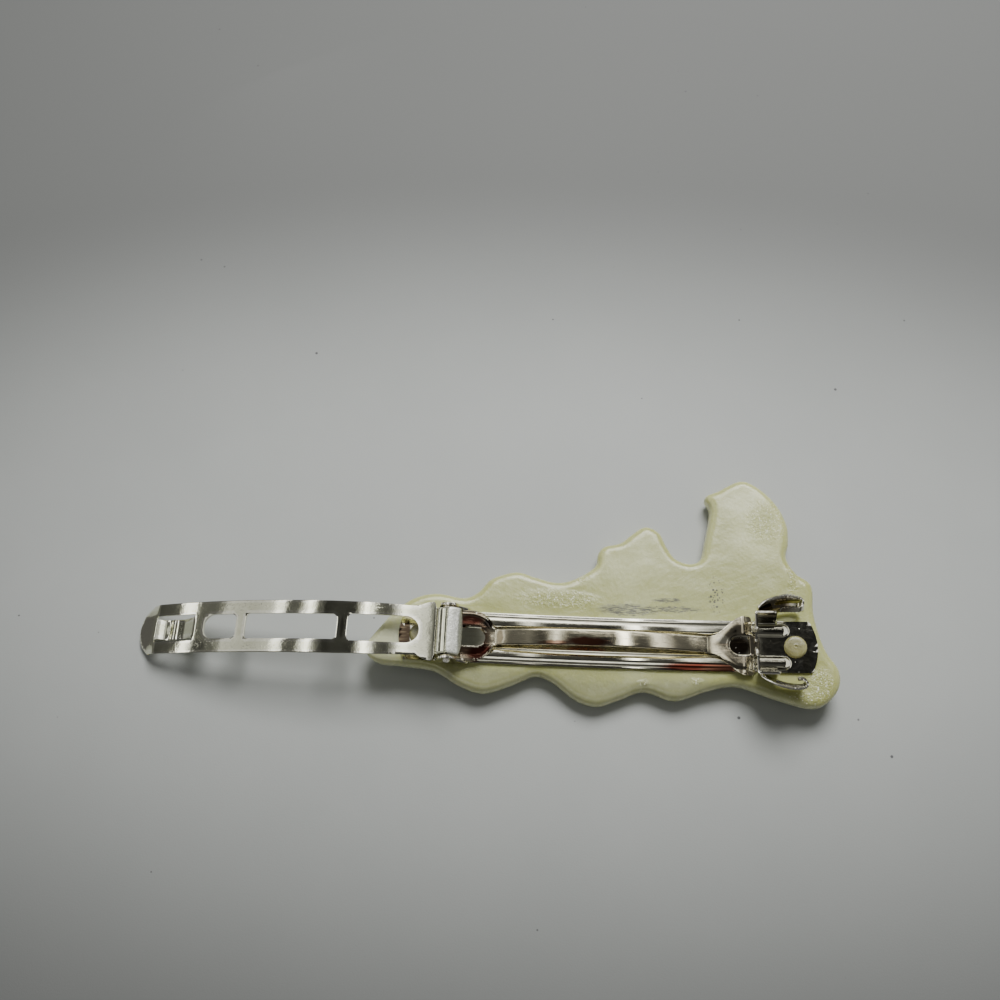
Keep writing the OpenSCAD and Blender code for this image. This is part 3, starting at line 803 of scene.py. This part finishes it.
# A finger wing stands on each ear: a band that bows outward, dished from top to bottom, with its end curled
# back. The two were bent by hand, so the far one leans further out and is curled back further.
wing_foot_x, wing_foot_y = 30.5, 5.12
wing_low, wing_high, wing_fold_h, wing_hem = 0.85, 4.25, 2.2, 0.75
wing_apex_x, wing_x0 = 5.6, -1.7
wing_foot_lean, tooth_l, tooth_h = 8, 0.62, 0.09


def add_wing(bm, side, lean, apex_y, curl_r, turn, leg):
    """Adds a wing on one side: its lean, its bow, and its curl's radius, turn and straight end."""
    bow_r = ((wing_apex_x - wing_x0) ** 2 + apex_y ** 2) / (2 * apex_y)
    bow_a = asin((wing_apex_x - wing_x0) / bow_r)
    curl_s = bow_a * bow_r
    wing_l = curl_s + curl_r * radians(turn) + leg

    def place(s, t):
        if s < curl_s:
            a = s / bow_r - bow_a
            x, y = wing_apex_x + bow_r * sin(a), apex_y - bow_r * (1 - cos(a))
        else:
            a = min((s - curl_s) / curl_r, radians(turn))
            rest = max(0, s - curl_s - curl_r * a)
            x = wing_apex_x + curl_r * sin(a) + rest * cos(a)
            y = apex_y - curl_r * (1 - cos(a)) - rest * sin(a)
        end = max(0, s - 0.72 * curl_s) / (0.28 * curl_s)
        tooth = tooth_h * max(0, sin(2 * pi * s / tooth_l)) * min(1, 3 * end)
        high = wing_high - 0.4 * min(1, end) ** 2 - tooth - 0.55 * max(0, 1 - s / 2.2) ** 2
        curled = smooth(curl_s + 0.5 * curl_r, curl_s + 2.3 * curl_r, s)
        low = wing_low + (high - wing_hem - wing_low) * curled
        h = low + (high - low) * t
        steep, flat = tan(radians(wing_foot_lean)), tan(radians(lean))
        d = h - wing_fold_h
        out = steep * (h - wing_low) + (flat - steep) * (d + sqrt(d * d + 0.02)) / 2
        return bowed(wing_foot_x + x, side * (wing_foot_y + y * 0.88 + out), h - 0.22 * y * (1 - t))

    outline = ([(s, 0) for s in steps(0, wing_l, 0.3)]
               + [(wing_l, 0.45), (wing_l - 0.15, 0.85), (wing_l - 0.4, 1)]
               + [(s, 1) for s in steps(wing_l - 0.4, 0, 0.1)[1:]])
    lines = [[(s, -0.1), (s, 1.1)] for s in steps(-0.1, wing_l + 0.1, 0.2)]
    lines += [[(-0.1, t), (wing_l + 0.1, t)] for t in steps(0, 1, 0.08)]
    add_sheet(bm, outline, place, lines=lines)


# Worn edges and painted edge highlights: where the surface turns sharply, from 0 to 1; the pale colour laid
# there is part wear, part painted highlight.
worn_and_glinting_edges, given, result = effect("worn_and_glinting_edges", Least=0.53)
turn = result_of(worn_and_glinting_edges, "NewGeometry", "Pointiness") - given["Least"]
broken = calc("MULTIPLY", turn, 22, clamp=True)
patchy = result_of(worn_and_glinting_edges, "TexNoise", Vector=given["Place"], Scale=2.2, Detail=3)
set_inputs(result, Mask=calc("MULTIPLY", broken, calc("MULTIPLY", patchy, 1.7, clamp=True), clamp=True))


def metal_surface(shader, base, rough, height, depth):
    """Joins a metal's colour, roughness and relief to its shader, the relief's depth given in mm."""
    bump = result_of(shader.id_data, "Bump", Strength=1, Distance=depth * mm, Height=height)
    set_inputs(shader, Base_Color=base, Roughness=rough, Normal=bump, Metallic=1)


nickel, shader = new_material("nickel_plate")
place = part_place(shader)
base = tint(use(clouds, place, Size=2.6, Contrast=2), (0.6, 0.58, 0.45), (0.76, 0.74, 0.6))
# Painted shade: the near-black patch at the plate's left end, the darker patch under the yoke and the
# near-black patch under the head's window.
base = stained_and_shaded(place, base, [
    (17.5, -4.3, 9.5, 1.15, 0.6, (0.2, 0.05, 0.032)), (21.5, -4.4, 4.5, 1, 0.5, (0.32, 0.13, 0.08)),
    (-38.6, 0, 3.8, 4.6, 0.7, (0.05, 0.036, 0.024)), (-26.4, 0, 3.3, 3.2, 0.8, (0.34, 0.34, 0.25)),
    (25.3, 0, 3.2, 2.5, 0.4, (0.05, 0.036, 0.026)), (31.6, 7.6, 4.4, 3.2, 0.8, (0.26, 0.215, 0.14)),
    (33.4, -8.1, 6, 3.4, 0.8, (0.1, 0.092, 0.055)), (-28.5, 5.4, 4, 1, 0.6, (0.22, 0.17, 0.11)),
    (-28.5, -5.4, 4, 1, 0.6, (0.3, 0.26, 0.18))])
grime = use(streaks, place, Length=3.4, Width=0.3, Share=0.42) * 0.45
base = tint(grime, base, (0.2, 0.16, 0.1))
dusty_spots = where(place, [(36, 0, 6.5, 6.5), (24.5, 0, 3.5, 3)])
dust = use(specks, place, Spacing=0.6, Radius=0.1, Share=0.5) * dusty_spots
dust = calc("MAXIMUM", dust, use(specks, place, Spacing=2.1, Radius=0.13, Share=0.3))
base = tint(dust, base, (0.62, 0.62, 0.56))
base = tint(use(worn_and_glinting_edges, place, Least=0.54), base, (0.84, 0.82, 0.7))
rough = use(clouds, place, Size=0.8, Contrast=1.6) * 0.07 + 0.04 + grime * 0.06 + dust * 0.5
height = use(clouds, place, Size=1.8, Contrast=1) * 0.5 + dust * 0.4
metal_surface(shader, base, rough, height, 0.02)

bm = bmesh.new()
add_sheet(bm, plate_outline, place_plate, plate_holes, plate_lines)
for side in (-1, 1):
    add_sheet(bm, jaw_outline, place_jaw(side), lines=jaw_lines)
add_wing(bm, 1, 43, 2.35, 1.2, 180, 3.2)
add_wing(bm, -1, 33, 2.6, 0.95, 200, 0.4)
base_plate = sheet_piece("base_plate_stamping", bm, plate_t - slack, nickel)
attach(base_plate, "clip")
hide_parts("base_plate")


# Tension bar
# A thin strip of spring steel, arched over the plate so that it presses the hair up against the arm. Its
# horseshoe yoke hangs on the hinge pin by two lugs; its widened head lies on the beads, under the jaws.
bar_t, bar_slack, bar_lift, strip_half = 0.35, 0.03, 0.62, 1.575
strip_x0, strip_x1, strip_crown = -21.6, 19, 3.6
yoke_x, yoke_r, window_r, lug_y = -26.2, 4.9, 1.9, 4.765
yoke_window_x, yoke_rim_w, yoke_rim_h = -25.2, 1.25, 0.57
yoke_lip_r, yoke_lip_w, yoke_lip_h = 2.25, 0.45, 0.1
head_window_x, head_window_end = 25.3, 27.25
head_lip_r, head_lip_w, head_lip_h = 2.12, 0.22, 0.07
head_ridge_y, head_ridge_w, head_ridge_h, head_droop = 3.75, 1.15, 0.34, 0.2
crown, soft_corner = 0.13, 0.003


def bar_base(x):
    """The height of the bar's sheet where it only rests on the plate's beads."""
    return plate_z(x) + bar_lift + bar_t / 2


bar_mid, bar_half = (strip_x0 + strip_x1) / 2, (strip_x1 - strip_x0) / 2
bar_foot = bar_base(strip_x0)
bar_rise = plate_z(0) + strip_crown - bar_foot
bar_r = (bar_half ** 2 + bar_rise ** 2) / (2 * bar_rise)


def hump(x, middle, width):
    """A rounded ridge across x: 1 at its middle, and nearly 0 at twice its width from there."""
    return exp(-((x - middle) / width) ** 2)


def yoke_dish(x, y):
    """How far the yoke's rim turns up at its nose and its sides, and a lip round its window."""
    d = yoke_r - hypot(max(0, x - yoke_x), y)
    up = max(0, 1 - d / yoke_rim_w)
    lip = max(0, 1 - abs(hypot(max(0, x - yoke_window_x), y) - yoke_lip_r) / yoke_lip_w)
    beside_strip = 1 if x < -23.5 else smooth(1.0, 2.4, abs(y))
    return yoke_rim_h * up * up * beside_strip + yoke_lip_h * lip * beside_strip


def head_form(x, y):
    """The ridges pressed into the head round its window, and the bent ends of its two arms."""
    side = abs(y)
    far = hypot(min(0, x - head_window_x), side)
    lip = head_lip_h * hump(far, head_lip_r, head_lip_w) * smooth(28.3, 27.2, x)
    from_ridge = 0.82 * (side - min(head_ridge_y, 0.75 + 0.66 * max(0, x - 20.4)))
    along_ridge = smooth(19.3, 24, x) * smooth(27.6, 25.9, x)
    ridge = head_ridge_h * hump(from_ridge, 0, head_ridge_w) * along_ridge
    droop = -head_droop * smooth(4.3, 5.8, side)
    bent_end = 0.16 * hump(x, 26.3, 0.3) - 0.3 * max(0, x - 26.35)
    return lip + ridge + droop + bent_end * smooth(2.1, 2.5, side)


def place_bar(x, y):
    """A point of the bar over the plan place x, y."""
    rest = bar_base(x)
    arch = bar_foot + bar_rise - bar_r + sqrt(bar_r ** 2 - (x - bar_mid) ** 2)
    z = (rest + arch) / 2 + sqrt((rest - arch) ** 2 / 4 + soft_corner)
    z += crown * (1 - (y / strip_half) ** 2) * smooth(-22, -19, x) * smooth(19.6, 17, x)
    if x < -21.5:
        z += yoke_dish(x, y)
    if x > 19.5:
        z += head_form(x, y)
    return x, y, z


def mirrored(path):
    """A path run along the clip's one side and back along the other, as a closed outline."""
    return path + [(x, -y) for x, y in reversed(path)]


yoke_lug = arc(pin_x, pin_z, 1.3, 12, 282, 28) + [(pin_x + x, pin_z + z) for x, z in (
    (2.1, -1.7), (2.35, -2.35), (4.2, -2.5), (4.2, -2.1), (3.1, -1.75))]
yoke_outline = mirrored([(-20.9, -strip_half), (-21.35, -1.62), (-21.75, -1.85)]
                        + arc(yoke_x, 0, yoke_r, -26, -90, 22) + [(-28.1, -4.9), (-28.1, -2)]
                        + arc(yoke_window_x, -0.1, window_r, -90, 0, 12))
strip_outline = mirrored([(-21.5, 0.02 - strip_half), (19.4, 0.02 - strip_half)])
head_outline = mirrored([(29.1, 0.9), (28.9, 1.8), (27.85, 1.8), (27.8, 5.35), (27.45, 5.72), (26.7, 5.74),
                         (26, 5.66), (25.1, 5.28), (24.2, 4.62), (23.2, 3.78), (22.3, 2.98), (21.5, 2.3),
                         (20.7, 1.85), (19.8, 1.62), (18.9, strip_half)])
head_window = (arc(head_window_x, 0, window_r, 90, 270, 24)
               + [(head_window_end - 0.2, -window_r), (head_window_end, 0.2 - window_r),
                  (head_window_end, window_r - 0.2), (head_window_end - 0.2, window_r)])

spring, shader = new_material("spring_steel")
place = part_place(shader)
base = tint(use(clouds, place, Size=3.2, Contrast=2), (0.66, 0.6, 0.42), (0.76, 0.71, 0.52))
# Painted light and shade: the near-black patch on the yoke's upper right is a painted dark reflection; the
# pale patches on the head's crease and its lower bent end are painted highlights.
base = stained_and_shaded(place, base, [
    (-3.6, -0.75, 5.2, 1.1, 0.9, (0.3, 0.12, 0.075)), (-10, -1.1, 4, 0.6, 0.6, (0.42, 0.26, 0.17)),
    (-26, 0, 5, 6.4, 0.8, (0.2, 0.135, 0.09)), (-26.3, 3.1, 3.2, 1.1, 0.5, (0.17, 0.065, 0.045)),
    (-23.8, -3.4, 3.8, 2.5, 0.5, (0.07, 0.02, 0.014)), (-22.6, 2.7, 1.5, 1.5, 0.4, (0.035, 0.03, 0.026)),
    (25.6, 0, 4.6, 6.4, 0.7, (0.3, 0.27, 0.195)), (27.2, -4.3, 0.8, 1.5, 0.2, (0.8, 0.76, 0.6)),
    (22.2, 1, 1.5, 1, 0.4, (0.78, 0.74, 0.58)), (-20.5, 0, 0.9, 2, 0.3, (0.27, 0.23, 0.15))])
grime = use(streaks, place, Length=5, Width=0.25, Share=0.4) * 0.4
base = tint(grime, base, (0.2, 0.13, 0.08))
base = tint(use(specks, place, Spacing=1.3, Radius=0.12, Share=0.3), base, (0.5, 0.46, 0.36))
base = tint(use(worn_and_glinting_edges, place, Least=0.54), base, (0.84, 0.79, 0.62))
scuffs = where(place, [(17.6, 0, 3.4, 2.6), (-21.3, 0, 1.6, 1.6)])
rough = use(clouds, place, Size=0.9, Contrast=1.6) * 0.08 + 0.05 + scuffs * 0.17 + grime * 0.3
rolling_lines = use(streaks, place, Length=9, Width=0.14, Share=0.5)
height = use(clouds, place, Size=2.2, Contrast=0.8) + rolling_lines * 0.05
metal_surface(shader, base, rough, height, 0.018)


def bar_piece(name, outline, holes, fine):
    """One stretch of the bar, cut from the same arched and pressed sheet."""
    bm = bmesh.new()
    x0, x1 = min(p[0] for p in outline), max(p[0] for p in outline)
    add_sheet(bm, outline, place_bar, holes, grid_lines(x0 - 0.1, x1 + 0.1, -6, 6, fine))
    if name == "tension_bar_yoke":
        hole = circle(pin_x, pin_z, pin_r + pin_play)
        for side in (-1, 1):
            add_sheet(bm, yoke_lug, lambda x, z: (x, side * lug_y, z), [hole])
    piece = sheet_piece(name, bm, bar_t - bar_slack, spring)
    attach(piece, "clip")
    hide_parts("tension_bar")
    return piece


bar_piece("tension_bar_yoke", yoke_outline, [], 0.3)
bar_piece("tension_bar_head", head_outline, [head_window], 0.22)
strip = bar_piece("tension_bar_strip", strip_outline, [], 0.45)
(bar_foot - 0.4) * mm
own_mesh(strip)


# Clasp arm
# One arched sheet of plated steel with three windows, flared and rolled into a barrel round the hinge
# pin. A tongue pressed between two slots at its free end snaps past the barbs; the end cap bends down.
arm_t = 0.5
arm_c, arm_r = (-47.96, -111.15), 121.13
arm_hinge_x, arm_fold_x, arm_tip_x, arm_tip_z = -33.0, -88.6, -92.75, 0.34
barrel_half, barrel_rx, barrel_rz = 4.36, 2.52, 2.03


def arm_z(x):
    """The height of the middle of the arm's arched sheet at x."""
    return arm_c[1] + sqrt(arm_r ** 2 - (x - arm_c[0]) ** 2)


def rounded(path, r, n=6):
    """An open path with its inner corners rounded off over the distance r."""
    out = [Vector(path[0])]
    for a, b, c in zip(path, path[1:], path[2:]):
        a, b, c = Vector(a), Vector(b), Vector(c)
        back = min(r, (a - b).length / 2)
        on = min(r, (c - b).length / 2)
        p, q = b + (a - b).normalized() * back, b + (c - b).normalized() * on
        out += [p.lerp(b, t).lerp(b.lerp(q, t), t) for t in [i / n for i in range(n + 1)]]
    return out + [Vector(path[-1])]


# The middle of the arm's sheet, seen from the side: its tip, its arch, the step at its shoulder, its roll.
arm_run = [(arm_tip_x, arm_tip_z)] + [(x, arm_z(x)) for x in steps(arm_fold_x, arm_hinge_x, 1.2)]
arm_run += [(-32.7, 8.9), (-32.48, 9.6), (-32.15, 10.1), (-31.3, 10.32), (-30.95, 10.3), (-30.72, 10.36)]
barrel_run = [(pin_x + barrel_rx * sin(radians(a)), pin_z + barrel_rz * cos(radians(a)))
              for a in range(0, 86, 5)]
arm_path = rounded(arm_run + [(-30.45, 10.76)] + barrel_run[1:], 0.22)
path_s = [0]
for a, b in zip(arm_path, arm_path[1:]):
    path_s.append(path_s[-1] + (b - a).length)


def path_at(s):
    """The point at s along the middle of the arm's sheet, from its tip to the end of its roll."""
    i = min(max(bisect(path_s, s) - 1, 0), len(arm_path) - 2)
    t = (s - path_s[i]) / (path_s[i + 1] - path_s[i])
    return arm_path[i].lerp(arm_path[i + 1], t)


def s_at(x):
    """How far along the sheet lies the plan place x."""
    i = min(max(bisect([p.x for p in arm_path], x) - 1, 0), len(arm_path) - 2)
    a, b = arm_path[i], arm_path[i + 1]
    return path_s[i] + (path_s[i + 1] - path_s[i]) * (x - a.x) / (b.x - a.x)


def window(x0, x1, w, ra, rb):
    """A rounded window in the arm's pattern, with its corner radii at the left and at the right."""
    corners = ((x1 - rb, w / 2 - rb, rb, 0), (x0 + ra, w / 2 - ra, ra, 90),
               (x0 + ra, ra - w / 2, ra, 180), (x1 - rb, rb - w / 2, rb, 270))
    return [(s_at(x), y) for cx, cy, r, a in corners for x, y in arc(cx, cy, r, a, a + 90, 9)]


cap_r, cap_half, cap_flat_y, cap_sag, cap_low = 5.8, 4.9, 2.9, 0.42, 0.3
cap_a = 180 - degrees(asin(cap_half / cap_r))
cross_bars, cross_ridge, cross_sag = (-50.55, -70.7), 0.07, 0.27
arm_crown, roll_corner_y, roll_corner_r = 0.09, 4.05, 0.25
slot_x0, slot_x1, slot_half = -88.87, -80.4, 2.62
tongue_y0, tongue_y1, tongue_drop = -2.03, 2.0, 1.35
tongue_x0, tongue_x1, tongue_front_l, tongue_back_l = -88.9, -80.3, 1.7, 2.7
dent_x, dent_h, lip_x, lip_h = -86.2, 0.35, -85.2, 0.16
roll_x0 = -32.45


def tongue_down(x):
    """How far the tongue is pressed down at x, as a share."""
    return max(0, min(1, (x - tongue_x0) / tongue_front_l, (tongue_x1 - x) / tongue_back_l))


def place_arm(s, y):
    """A point of the arm's flat pattern, once arched, rolled and pressed."""
    p = path_at(s)
    x, z = p.x, p.y
    if tongue_y0 - 0.03 < y < tongue_y1 + 0.03:
        middle = (tongue_y0 + tongue_y1) / 2
        z -= tongue_down(x) * tongue_drop
        z -= dent_h * hump(x, dent_x, 0.5) * (1 - ((y - middle) / 2.2) ** 2)
        z += lip_h * hump(x, lip_x, 0.4)
    if x < arm_fold_x:
        z = max(z - cap_sag * max(0, abs(y) - cap_flat_y) * smooth(arm_fold_x, -91, x), cap_low)
    for bar_x in cross_bars:
        ridge = cross_ridge * hump(x, bar_x, 0.22)
        z += (ridge - cross_sag * smooth(1.8, 1.25, abs(x - bar_x))) * smooth(2.95, 2.1, abs(y))
    z += arm_crown * (1 - (y / 5.1) ** 2) * smooth(-34.2, -38, x) * smooth(-86, -80, x)
    if x > roll_x0:
        round_off = min(max(0, abs(y) - roll_corner_y) / roll_corner_r, pi / 2)
        inward = roll_corner_r * (1 - cos(round_off))
        way = Vector((pin_x - x, pin_z - z)).normalized()
        x, z = x + way.x * inward, z + way.y * inward
        y = copysign(min(abs(y), roll_corner_y) + roll_corner_r * sin(round_off), y)
    return x, y, z


def roll_end(y):
    """Where the roll's free edge, which bows out at its middle, lies on the pattern."""
    return s_at(pin_x + barrel_rx * sin(radians(84 - 24 * (y / barrel_half) ** 2)))


arm_side = arc(arm_tip_x + cap_r, 0, cap_r, 180, cap_a, 16) + [
    (-90.2, 4.75), (arm_fold_x, 4.95), (-84, 5), (-77, 5.07), (-70, 5.1), (-61, 5.12), (-52, 5.1), (-46, 5),
    (-41, 4.88), (-38, 4.76), (-37.2, 4.75), (-36.6, 4.78), (-36.0, 4.9), (-35.4, 5.13), (-34.7, 5.42),
    (-34.1, 5.62), (-33.6, 5.71), (-33.35, 5.72), (-33.14, 5.62), (-33.05, 5.45), (-33, 5.2), (-32.9, 4.7),
    (-32.7, 4.42), (roll_x0, barrel_half)]
arm_outline = mirrored([(s_at(x), -y) for x, y in arm_side]
                       + [(roll_end(y), -y) for y in steps(barrel_half, 0, 0.3)])
arm_windows = [window(-49.55, -35.9, 5.25, 0.8, 2.62), window(-69.75, -51.6, 4.95, 0.9, 0.9),
               window(-78.25, -71.65, 4.8, 2, 0.9)]
for y0, y1 in ((tongue_y1, slot_half), (-slot_half, tongue_y0)):
    arm_windows.append([(s_at(x), y) for x, y in (
        (slot_x0, y0), (slot_x1 - 0.3, y0), (slot_x1, y0 + 0.2),
        (slot_x1, y1 - 0.2), (slot_x1 - 0.3, y1), (slot_x0, y1))])
arm_lines = [[(s, -7), (s, 7)] for s in steps(-0.5, s_at(-80), 0.3) + steps(s_at(-80), s_at(-34), 0.8)
             + steps(s_at(-34), s_at(roll_x0), 0.2) + steps(s_at(roll_x0), path_s[-1], 0.12)]
arm_lines += [[(-1, y), (path_s[-1] + 1, y)] for y in steps(-5.6, 5.6, 0.7)]
for y in (roll_corner_y, 4.12, 4.18, 4.24, 4.3):
    arm_lines += [[(s_at(-32.9), side * y), (path_s[-1] + 1, side * y)] for side in (-1, 1)]

plated, shader = new_material("arm_plating")
place = part_place(shader)
base = tint(use(clouds, place, Size=2.2, Contrast=2), (0.65, 0.65, 0.48), (0.79, 0.79, 0.61))
# Painted shade: the near-black line in the valley before the roll and the dark line in the groove on it.
base = stained_and_shaded(place, base, [
    (cross_bars[0], 0, 0.42, 2.6, 0.5, (0.42, 0.4, 0.31)), (-79.6, -3.9, 2.8, 1.8, 0.6, (0.4, 0.4, 0.31)),
    (-32.78, 0, 0.3, 7, 0.05, (0.012, 0.012, 0.01)), (-30.78, 0, 0.16, 4.4, 0.05, (0.09, 0.09, 0.07)),
    (-92, 0, 3.3, 7, 1, (0.6, 0.58, 0.47))])
dashes = use(streaks, place, Length=0.55, Width=0.12, Share=0.36) * where(place, [(-35.5, 0, 4.6, 7)])
fleck_spots = where(place, [(-69, 3.9, 9, 2), (-77, -3.4, 5, 1.7), (-67, -4, 7, 1.3), (-44.5, 4, 3, 1.4)])
flecks = use(streaks, place, Length=0.5, Width=0.32, Share=0.44) * fleck_spots
base = tint(dashes * 0.75, base, (0.3, 0.3, 0.24))
base = tint(flecks * 0.6, base, (0.36, 0.36, 0.28))
base = tint(use(specks, place, Spacing=1.1, Radius=0.11, Share=0.35), base, (0.3, 0.3, 0.24))
base = tint(use(worn_and_glinting_edges, place, Least=0.54), base, (0.85, 0.84, 0.7))
# The roll's plating is scuffed to a duller, finely pitted finish; its paler colour is partly the scuffing
# and partly a painted highlight, and the darker band towards its free edge is painted shade.
roll = use(ragged_patch, place, X=-28.55, Y=0, Length=2, Width=9, Ragged=0.1, Softness=0.12)
scuffed_and_highlit = tint(use(clouds, place, Size=0.5, Contrast=3.5), (0.6, 0.61, 0.52), (0.97, 0.98, 0.9))
base = stained_and_shaded(place, tint(roll, base, scuffed_and_highlit), [(-27.85, 0, 0.75, 7, 0.15, (0.36, 0.37, 0.31))])
rough = use(clouds, place, Size=0.7, Contrast=1.6) * 0.07 + 0.045 + roll * 0.19 + flecks * 0.2
pitting = use(clouds, place, Size=0.4, Contrast=1.4) * (roll * 0.9 + flecks * 0.4)
height = use(clouds, place, Size=1.6, Contrast=1) + pitting
metal_surface(shader, base, rough, height, 0.022)
set_inputs(shader, Metallic=1 - roll * 0.55)

bm = bmesh.new()
add_sheet(bm, arm_outline, place_arm, arm_windows, arm_lines)
cheek_y, cheek_rx, cheek_rz = 4.22, 2.1, 1.76
cheek = [(pin_x + cheek_rx * p.x, pin_z + cheek_rz * p.y) for p in circle(0, 0, 1, 45)]
for side in (-1, 1):
    add_sheet(bm, cheek, lambda x, z: (x, side * cheek_y, z), [circle(pin_x, pin_z, pin_r + pin_play)])
clasp_arm = sheet_piece("clasp_arm_sheet", bm, arm_t - slack, plated)
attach(clasp_arm, "arm")
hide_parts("clasp_arm")


# Hinge pin
# A small steel rivet through the ears, the yoke's lugs and the barrel's cheeks. The press domed its two
# heads, which hold the ears together.
pin_head_y, pin_head_r, pin_head_h = 5.44, 0.75, 0.45
pin_profile = [(0, pin_head_h), (0.2, 0.44), (0.4, 0.4), (0.57, 0.3), (0.69, 0.16), (pin_head_r, 0.05),
               (pin_head_r, 0), (pin_r, 0), (pin_r, -pin_head_y)]


def along_pin(side):
    """Places a shape turned about the pin's axis, its foot on the ear's outer face."""
    def place(x, y, h):
        return pin_x + x, side * (pin_head_y + h), pin_z + side * y
    return place


rivet, shader = new_material("rivet_steel")
place = part_place(shader)
base = tint(use(clouds, place, Size=0.5, Contrast=2), (0.66, 0.64, 0.56), (0.88, 0.86, 0.8))
base = tint(use(specks, place, Spacing=0.4, Radius=0.08, Share=0.4), base, (0.3, 0.26, 0.2))
rough = use(clouds, place, Size=0.35, Contrast=1.6) * 0.2 + 0.16
metal_surface(shader, base, rough, use(clouds, place, Size=0.45, Contrast=1), 0.03)

bm = bmesh.new()
for side in (-1, 1):
    turned(bm, pin_profile, along_pin(side), 40)
hinge_pin = new_piece("hinge_pin_rivet", bm, rivet)
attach(hinge_pin, "clip")
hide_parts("hinge_pin")
